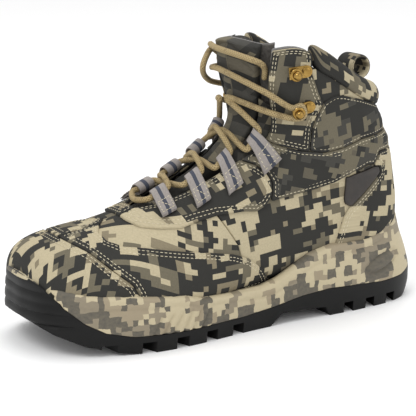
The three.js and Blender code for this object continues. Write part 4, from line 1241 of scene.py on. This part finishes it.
def make_lace(looks):
    """Round braided lace, one length from end to end."""
    rough = centripetal(lace_points(), 24)
    arc = np.concatenate([[0], np.cumsum(np.linalg.norm(np.diff(rough, axis=0), axis=-1))])
    count = int(arc[-1] / 1.1)
    at = np.linspace(0, arc[-1], count)
    line = np.stack([np.interp(at, arc, rough[:, k]) for k in range(3)], -1)
    along = np.gradient(line, axis=0)
    along /= np.linalg.norm(along, axis=1, keepdims=True)
    across = np.cross(along[0], [0.3, 0.2, 0.9])
    rows, cloth = [], []
    for k in range(count):
        across = across - along[k] * across.dot(along[k])
        across /= np.linalg.norm(across)
        other = np.cross(along[k], across)
        taper = 0.75 if k in (0, count - 1) else 1.0
        row = []
        for j in range(14):
            t = 2 * math.pi * j / 14
            strand = 1 + 0.05 * math.cos(4 * t + at[k] * 1.1) * math.cos(4 * t - at[k] * 1.1)
            radius = LACE / 2 * strand * taper * 0.98
            row.append(line[k] + across * math.cos(t) * radius + other * math.sin(t) * radius)
            cloth.append((13.2 * j / 14, at[k]))
        rows.append(np.array(row))
    piece = new_piece("lace_look", np.concatenate(rows), ring_solid(rows), looks["lace"], cloth)
    settle(outwards(piece), nodes=["lace"])
    print("lace length mm", round(float(arc[-1]), 1))


# ---------------------------------------------------------------- sole
def outline_at(count):
    """Points and outward directions round the sole."""
    p = SOLE_OUTLINE
    points, ways = [], []
    for i in range(count):
        f = i / count * len(p)
        k = int(f)
        t = f - k
        a, b, c, d = p[k - 1], p[k % len(p)], p[(k + 1) % len(p)], p[(k + 2) % len(p)]
        points.append(0.5 * (2 * b + (c - a) * t + (2 * a - 5 * b + 4 * c - d) * t * t
                             + (3 * b - a - 3 * c + d) * t ** 3))
        way = 0.5 * ((c - a) + 2 * (2 * a - 5 * b + 4 * c - d) * t + 3 * (3 * b - a - 3 * c + d) * t * t)
        out = np.array([-way[1], way[0]]) / np.linalg.norm(way)
        ways.append(out if out.dot(points[-1]) > 0 else -out)
    return np.array(points), np.array(ways)


def sole_row(z, points, ways, extra=0.0):
    """One level of the sole's wall."""
    near = [z - 3, z, z + 3]
    margin, heel, toe = (np.mean(np.interp(near, SOLE_LEVELS[:, 0], SOLE_LEVELS[:, k])) for k in (1, 2, 3))
    heel_share = smoothstep(points[:, 1], 70, 132)
    toe_share = smoothstep(-points[:, 1], 110, 148)
    reach = (margin + toe * toe_share + extra)[:, None]
    row = points + ways * reach
    row[:, 1] += (heel - margin) * heel_share ** 2
    return np.column_stack([row, np.full(len(row), z)])


def side_block(name, outline, half=90):
    """Cutter: a side outline pushed through the sole."""
    rows = [[(x, y, z) for y, z in outline] for x in (-half, half)]
    points = np.concatenate(np.array(rows, float))
    return outwards(new_piece(name, points, ring_solid(rows), None, smooth=False))


def cut(piece, tool, operation):
    """Boolean with a tool that is then thrown away."""
    select_only(piece)
    boolean = piece.modifiers.new("cut", "BOOLEAN")
    boolean.operation = operation
    boolean.solver = "EXACT"
    boolean.object = tool
    bpy.ops.object.modifier_apply(modifier=boolean.name)
    bpy.data.objects.remove(tool)


def groove_boxes():
    """Every groove of the tread: middle across and along, turn, length and width."""
    boxes = []
    for side in (1, -1):
        for groove, places in ((FORE_GROOVE, FORE_GROOVES), (HEEL_GROOVE, HEEL_GROOVES)):
            across, turn, length, wide = groove
            boxes += [(side * across, y, side * turn, length, wide) for y in places]
        boxes.append((side * 17, -52, side * 0.04, 4.5, 124))
    boxes += [(0, y, 0, 34, 5) for y in MIDDLE_GROOVES]
    return boxes + [(0, 98, 0, 9, 78)]


def make_outsole(looks):
    """Lugged rubber: the wall with its toe ridges, trimmed to the tread, grooved, and its edges eased."""
    points, ways = outline_at(220)
    rows = []
    for z in np.arange(-2, 58.1, 1.5):
        front = smoothstep(-points[:, 1], 118, 138)
        ridge = -1.3 * front * np.exp(-((((z - 24) / 7.2) % 1 - 0.5) / 0.13) ** 2) * (z > 18)
        rows.append(sole_row(z, points, ways, ridge))
    piece = outwards(new_piece("outsole_look", np.concatenate(rows), ring_solid(rows), looks["rubber"]))
    cut(piece, side_block("tread_block", TREAD_LINE + GROUND_LINE), "INTERSECT")
    for x, y, turn, length, wide in groove_boxes():
        bpy.ops.object.select_all(action="DESELECT")
        bpy.ops.mesh.primitive_cube_add(size=1, location=(x * MM, y * MM, 0), rotation=(0, 0, turn))
        tool = bpy.context.object
        tool.scale = (length * MM, wide * MM, 2 * LUG_DEPTH * MM)
        bpy.ops.object.transform_apply(location=True, rotation=True, scale=True)
        cut(piece, tool, "DIFFERENCE")
    bpy.context.view_layer.objects.active = piece
    bevel = piece.modifiers.new("eased", "BEVEL")
    bevel.width = bpy.context.scene.boot_settings.lug_ease
    bevel.segments = 2
    bevel.limit_method = "ANGLE"
    bevel.angle_limit = math.radians(48)
    bpy.ops.object.modifier_apply(modifier=bevel.name)
    piece.data.shade_smooth()
    piece.data.set_sharp_from_angle(angle=math.radians(35))
    settle(piece, nodes=["outsole"])


def midsole_relief(y, z, to_feather):
    """How far the midsole stands out from its plain wall: ribs, a long groove and the heel pod."""
    slant = (y - (z - 14) * 0.5 + 92) / 7.4
    ribbed = smoothstep(y, -86, -78) * (1 - smoothstep(y, -42, -34)) * (1 - smoothstep(z, 22, 27))
    shape = -1.7 * ribbed * np.exp(-((slant % 1 - 0.5) / 0.17) ** 2)
    shape += -0.9 * np.exp(-((to_feather - 7.5 - 2 * np.sin(y / 26)) / 0.9) ** 2)
    along, up = (y - 108) * 0.95 + (z - 32) * 0.31, -(y - 108) * 0.31 + (z - 32) * 0.95
    pod = np.hypot(along / 15, up / 5)
    return shape + 1.5 * (1 - smoothstep(pod, 0.55, 0.95)) - 1.6 * np.exp(-((pod - 1.05) / 0.13) ** 2)


def shifted(base, ways, off):
    """A wall moved outwards by a distance."""
    moved = base.copy()
    moved[..., 0] += ways[None, :, 0] * off
    moved[..., 1] += ways[None, :, 1] * off
    return moved


def wall_faces(down, across, values):
    """Faces of a closed wall that reach inside the field."""
    faces = []
    for i in range(down - 1):
        for j in range(across):
            k = (j + 1) % across
            face = [i * across + j, i * across + k, (i + 1) * across + k, (i + 1) * across + j]
            if max(values[face]) > 0:
                faces.append(face)
    return faces


MIDSOLE_WALL = 6


def make_midsole(looks):
    """Moulded foam wall round the boot, between the tread and the feather line."""
    points, ways = outline_at(420)
    base = np.array([sole_row(z, points, ways) for z in np.arange(8, 72.1, 1.2)])
    y, z = base[..., 1], base[..., 2]
    wall = FEATHER_LINE + [(p[0], p[1] + GAP) for p in reversed(TREAD_LINE)]
    field = outline_field(wall, y, z)
    to_feather = feather_height(y) - z
    rolled = 4.2 * (1 - edge_profile(field, 2.4)) * (to_feather < 5)
    outer = shifted(base, ways, midsole_relief(y, z, to_feather) - rolled)
    inner = shifted(base, ways, -MIDSOLE_WALL)
    arc = np.concatenate([[0], np.cumsum(np.linalg.norm(np.diff(points, axis=0), axis=-1))])
    data = np.stack([outer[..., 0], outer[..., 1], field, outer[..., 2], np.broadcast_to(arc, field.shape),
                     inner[..., 0], inner[..., 1]], -1).reshape(-1, 7)
    faces = wall_faces(*field.shape, data[:, FIELD])
    for level in (0, 0.5, 1.4):
        data, faces, _ = cut_along(data, faces, level)
    solid = closed_sheet(inside_faces(data, faces), len(data))
    front = data[:, [0, 1, 3]]
    back = data[:, [5, 6, 3]]
    cloth = np.stack([data[:, 4], data[:, 3]], -1)
    piece = new_piece("midsole_look", np.concatenate([front, back]), solid, looks["midsole"],
                      np.concatenate([cloth, cloth]))
    select_only(piece)
    bpy.ops.object.mode_set(mode="EDIT")
    bpy.ops.mesh.select_all(action="SELECT")
    bpy.ops.mesh.delete_loose()
    bpy.ops.object.mode_set(mode="OBJECT")
    settle(outwards(piece), nodes=["midsole"])


def finish_hidden(looks):
    """Better finishes for the stiff solids that stay as they are."""
    choice = {"shank": "steel", "lasting_board": "board", "toe_puff": "board", "heel_counter": "board",
              "footbed": "fleece"}
    for name, look in choice.items():
        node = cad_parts[name]
        for slot in node.material_slots:
            slot.material = looks[look]


# ---------------------------------------------------------------- add-on
class BootSettings(bpy.types.PropertyGroup):
    """Colours and sizes of the finish, and the place of the camera."""

    light: bpy.props.FloatVectorProperty(
        name="Light", description="Palest tone of the camouflage", subtype="COLOR", size=3,
        default=linear(190, 178, 148)[:3])
    dark: bpy.props.FloatVectorProperty(
        name="Dark", description="Darkest tone of the camouflage", subtype="COLOR", size=3,
        default=linear(54, 54, 52)[:3])
    middle: bpy.props.FloatVectorProperty(
        name="Middle", description="Middle tone of the camouflage", subtype="COLOR", size=3,
        default=linear(112, 106, 90)[:3])
    cell: bpy.props.FloatProperty(
        name="Cell", description="Side of one square of the camouflage", subtype="DISTANCE", unit="LENGTH",
        default=0.0036, precision=4)
    stitch_length: bpy.props.FloatProperty(
        name="Stitch", description="Length of one stitch", subtype="DISTANCE", unit="LENGTH", default=0.0021,
        precision=4)
    stitch_pitch: bpy.props.FloatProperty(
        name="Pitch", description="From one stitch to the next", subtype="DISTANCE", unit="LENGTH",
        default=0.003, precision=4)
    thread_thickness: bpy.props.FloatProperty(
        name="Thread", description="Thickness of the sewing thread", subtype="DISTANCE", unit="LENGTH",
        default=0.00062, precision=5)
    lug_ease: bpy.props.FloatProperty(
        name="Lug edges", description="How far the edges of the tread are eased", subtype="DISTANCE",
        unit="LENGTH", default=0.0007, precision=4)
    azimuth: bpy.props.FloatProperty(
        name="Azimuth", description="Turn of the camera, in degrees", default=60.2)
    elevation: bpy.props.FloatProperty(
        name="Elevation", description="Height of the camera, in degrees", default=12.6)
    distance: bpy.props.FloatProperty(
        name="Distance", description="Camera to the boot", subtype="DISTANCE", unit="LENGTH", default=1.05)


SHOP = {}


def shop():
    """The face grid and the finishes, made once."""
    if not SHOP:
        SHOP["grid"] = Skin()
        SHOP["looks"] = make_finishes(bpy.context.scene.boot_settings)
    return SHOP["grid"], SHOP["looks"]


class BOOT_OT_upper(bpy.types.Operator):
    """Makes the base fabric, the overlays and the label"""

    bl_idname = "boot.upper"
    bl_label = "Upper"

    def execute(self, context):
        make_upper(*shop())
        return {"FINISHED"}


class BOOT_OT_inside(bpy.types.Operator):
    """Makes the bootie, the tongue and its gussets"""

    bl_idname = "boot.inside"
    bl_label = "Lining and tongue"

    def execute(self, context):
        make_inside(*shop())
        finish_hidden(shop()[1])
        return {"FINISHED"}


class BOOT_OT_collar(bpy.types.Operator):
    """Makes the padded collar and the heel pull loop"""

    bl_idname = "boot.collar"
    bl_label = "Collar and pull loop"

    def execute(self, context):
        make_collar(shop()[1])
        make_pull_loop(shop()[1])
        return {"FINISHED"}


class BOOT_OT_lacing(bpy.types.Operator):
    """Makes the webbing loops, the hooks and the lace"""

    bl_idname = "boot.lacing"
    bl_label = "Lacing"

    def execute(self, context):
        looks = shop()[1]
        make_loops(looks)
        make_hooks(looks)
        make_lace(looks)
        return {"FINISHED"}


class BOOT_OT_sewing(bpy.types.Operator):
    """Lays the thread along every seam made so far"""

    bl_idname = "boot.sewing"
    bl_label = "Sewing"

    def execute(self, context):
        for side, word in ((1, "lateral"), (-1, "medial")):
            if not STITCHES[side]:
                raise RuntimeError("make the upper before the sewing")
            piece = sewing("sewing_" + word, STITCHES[side], shop()[1]["thread"])
            settle(piece)
        return {"FINISHED"}


class BOOT_OT_sole(bpy.types.Operator):
    """Makes the outsole and the midsole"""

    bl_idname = "boot.sole"
    bl_label = "Sole unit"

    def execute(self, context):
        make_outsole(shop()[1])
        make_midsole(shop()[1])
        return {"FINISHED"}


# Lamps of the stage: name, place, size in metres and power in watts.
LAMPS = (
    ("key", (0.5, -1.0, 1.5), 0.7, 9),
    ("fill", (1.5, 0.6, 0.7), 1.0, 3),
    ("top", (-0.3, 0.3, 1.6), 1.0, 6),
)
LENS = 131.5
SENSOR = 36
LENS_SHIFT = (-0.0353, -0.049)
SKY = 0.95
MIDDLE_HEIGHT = 0.09


class BOOT_OT_stage(bpy.types.Operator):
    """Sets the floor, the lights and the camera"""

    bl_idname = "boot.stage"
    bl_label = "Stage"

    def execute(self, context):
        settings = context.scene.boot_settings
        f = Finish("pale_floor", 0.85)
        f.shader.inputs["Base Color"].default_value = (0.97, 0.97, 0.97, 1)
        bpy.ops.mesh.primitive_plane_add(size=12)
        floor = context.object
        floor.name = "floor"
        floor.data.materials.append(f.material)
        world = context.scene.world or bpy.data.worlds.new("studio")
        context.scene.world = world
        world.use_nodes = True
        world.node_tree.nodes["Background"].inputs[0].default_value = (1, 1, 1, 1)
        world.node_tree.nodes["Background"].inputs[1].default_value = SKY
        context.scene.view_settings.view_transform = "Standard"
        target = Vector((0, 0, MIDDLE_HEIGHT))
        for name, place, size, power in LAMPS:
            lamp = bpy.data.lights.new(name, "AREA")
            lamp.size = size
            lamp.energy = power
            light = bpy.data.objects.new(name, lamp)
            light.location = place
            light.rotation_euler = (target - Vector(place)).to_track_quat("-Z", "Y").to_euler()
            context.scene.collection.objects.link(light)
        turn, rise = math.radians(settings.azimuth), math.radians(settings.elevation)
        back = Vector((math.sin(turn) * math.cos(rise), -math.cos(turn) * math.cos(rise), math.sin(rise)))
        lens = bpy.data.cameras.new("camera")
        lens.lens = LENS
        lens.sensor_width = SENSOR
        lens.shift_x, lens.shift_y = LENS_SHIFT
        camera = bpy.data.objects.new("camera", lens)
        camera.location = target + back * settings.distance
        camera.rotation_euler = (-back).to_track_quat("-Z", "Y").to_euler()
        context.scene.collection.objects.link(camera)
        context.scene.camera = camera
        return {"FINISHED"}


SETTING_NAMES = (
    "light", "dark", "middle", "cell", "stitch_length", "stitch_pitch", "thread_thickness", "lug_ease",
    "azimuth", "elevation", "distance",
)


class BOOT_PT_panel(bpy.types.Panel):
    """Lists the steps of the boot in the sidebar"""

    bl_label = "Hunting boot"
    bl_idname = "BOOT_PT_panel"
    bl_space_type = "VIEW_3D"
    bl_region_type = "UI"
    bl_category = "Boot"

    def draw(self, context):
        settings = context.scene.boot_settings
        for name in SETTING_NAMES:
            self.layout.prop(settings, name)
        for step in STEPS:
            self.layout.operator(step.bl_idname)


STEPS = (
    BOOT_OT_stage, BOOT_OT_lacing, BOOT_OT_upper, BOOT_OT_inside, BOOT_OT_collar, BOOT_OT_sole,
    BOOT_OT_sewing,
)


def register():
    """Adds the boot's classes."""
    for made in (BootSettings,) + STEPS + (BOOT_PT_panel,):
        bpy.utils.register_class(made)
    bpy.types.Scene.boot_settings = bpy.props.PointerProperty(type=BootSettings)


def unregister():
    """Removes the boot's classes."""
    del bpy.types.Scene.boot_settings
    for made in reversed((BootSettings,) + STEPS + (BOOT_PT_panel,)):
        bpy.utils.unregister_class(made)


def main():
    """Builds the whole boot."""
    register()
    for step in STEPS:
        group, name = step.bl_idname.split(".")
        getattr(getattr(bpy.ops, group), name)()


if __name__ == "__main__":
    main()
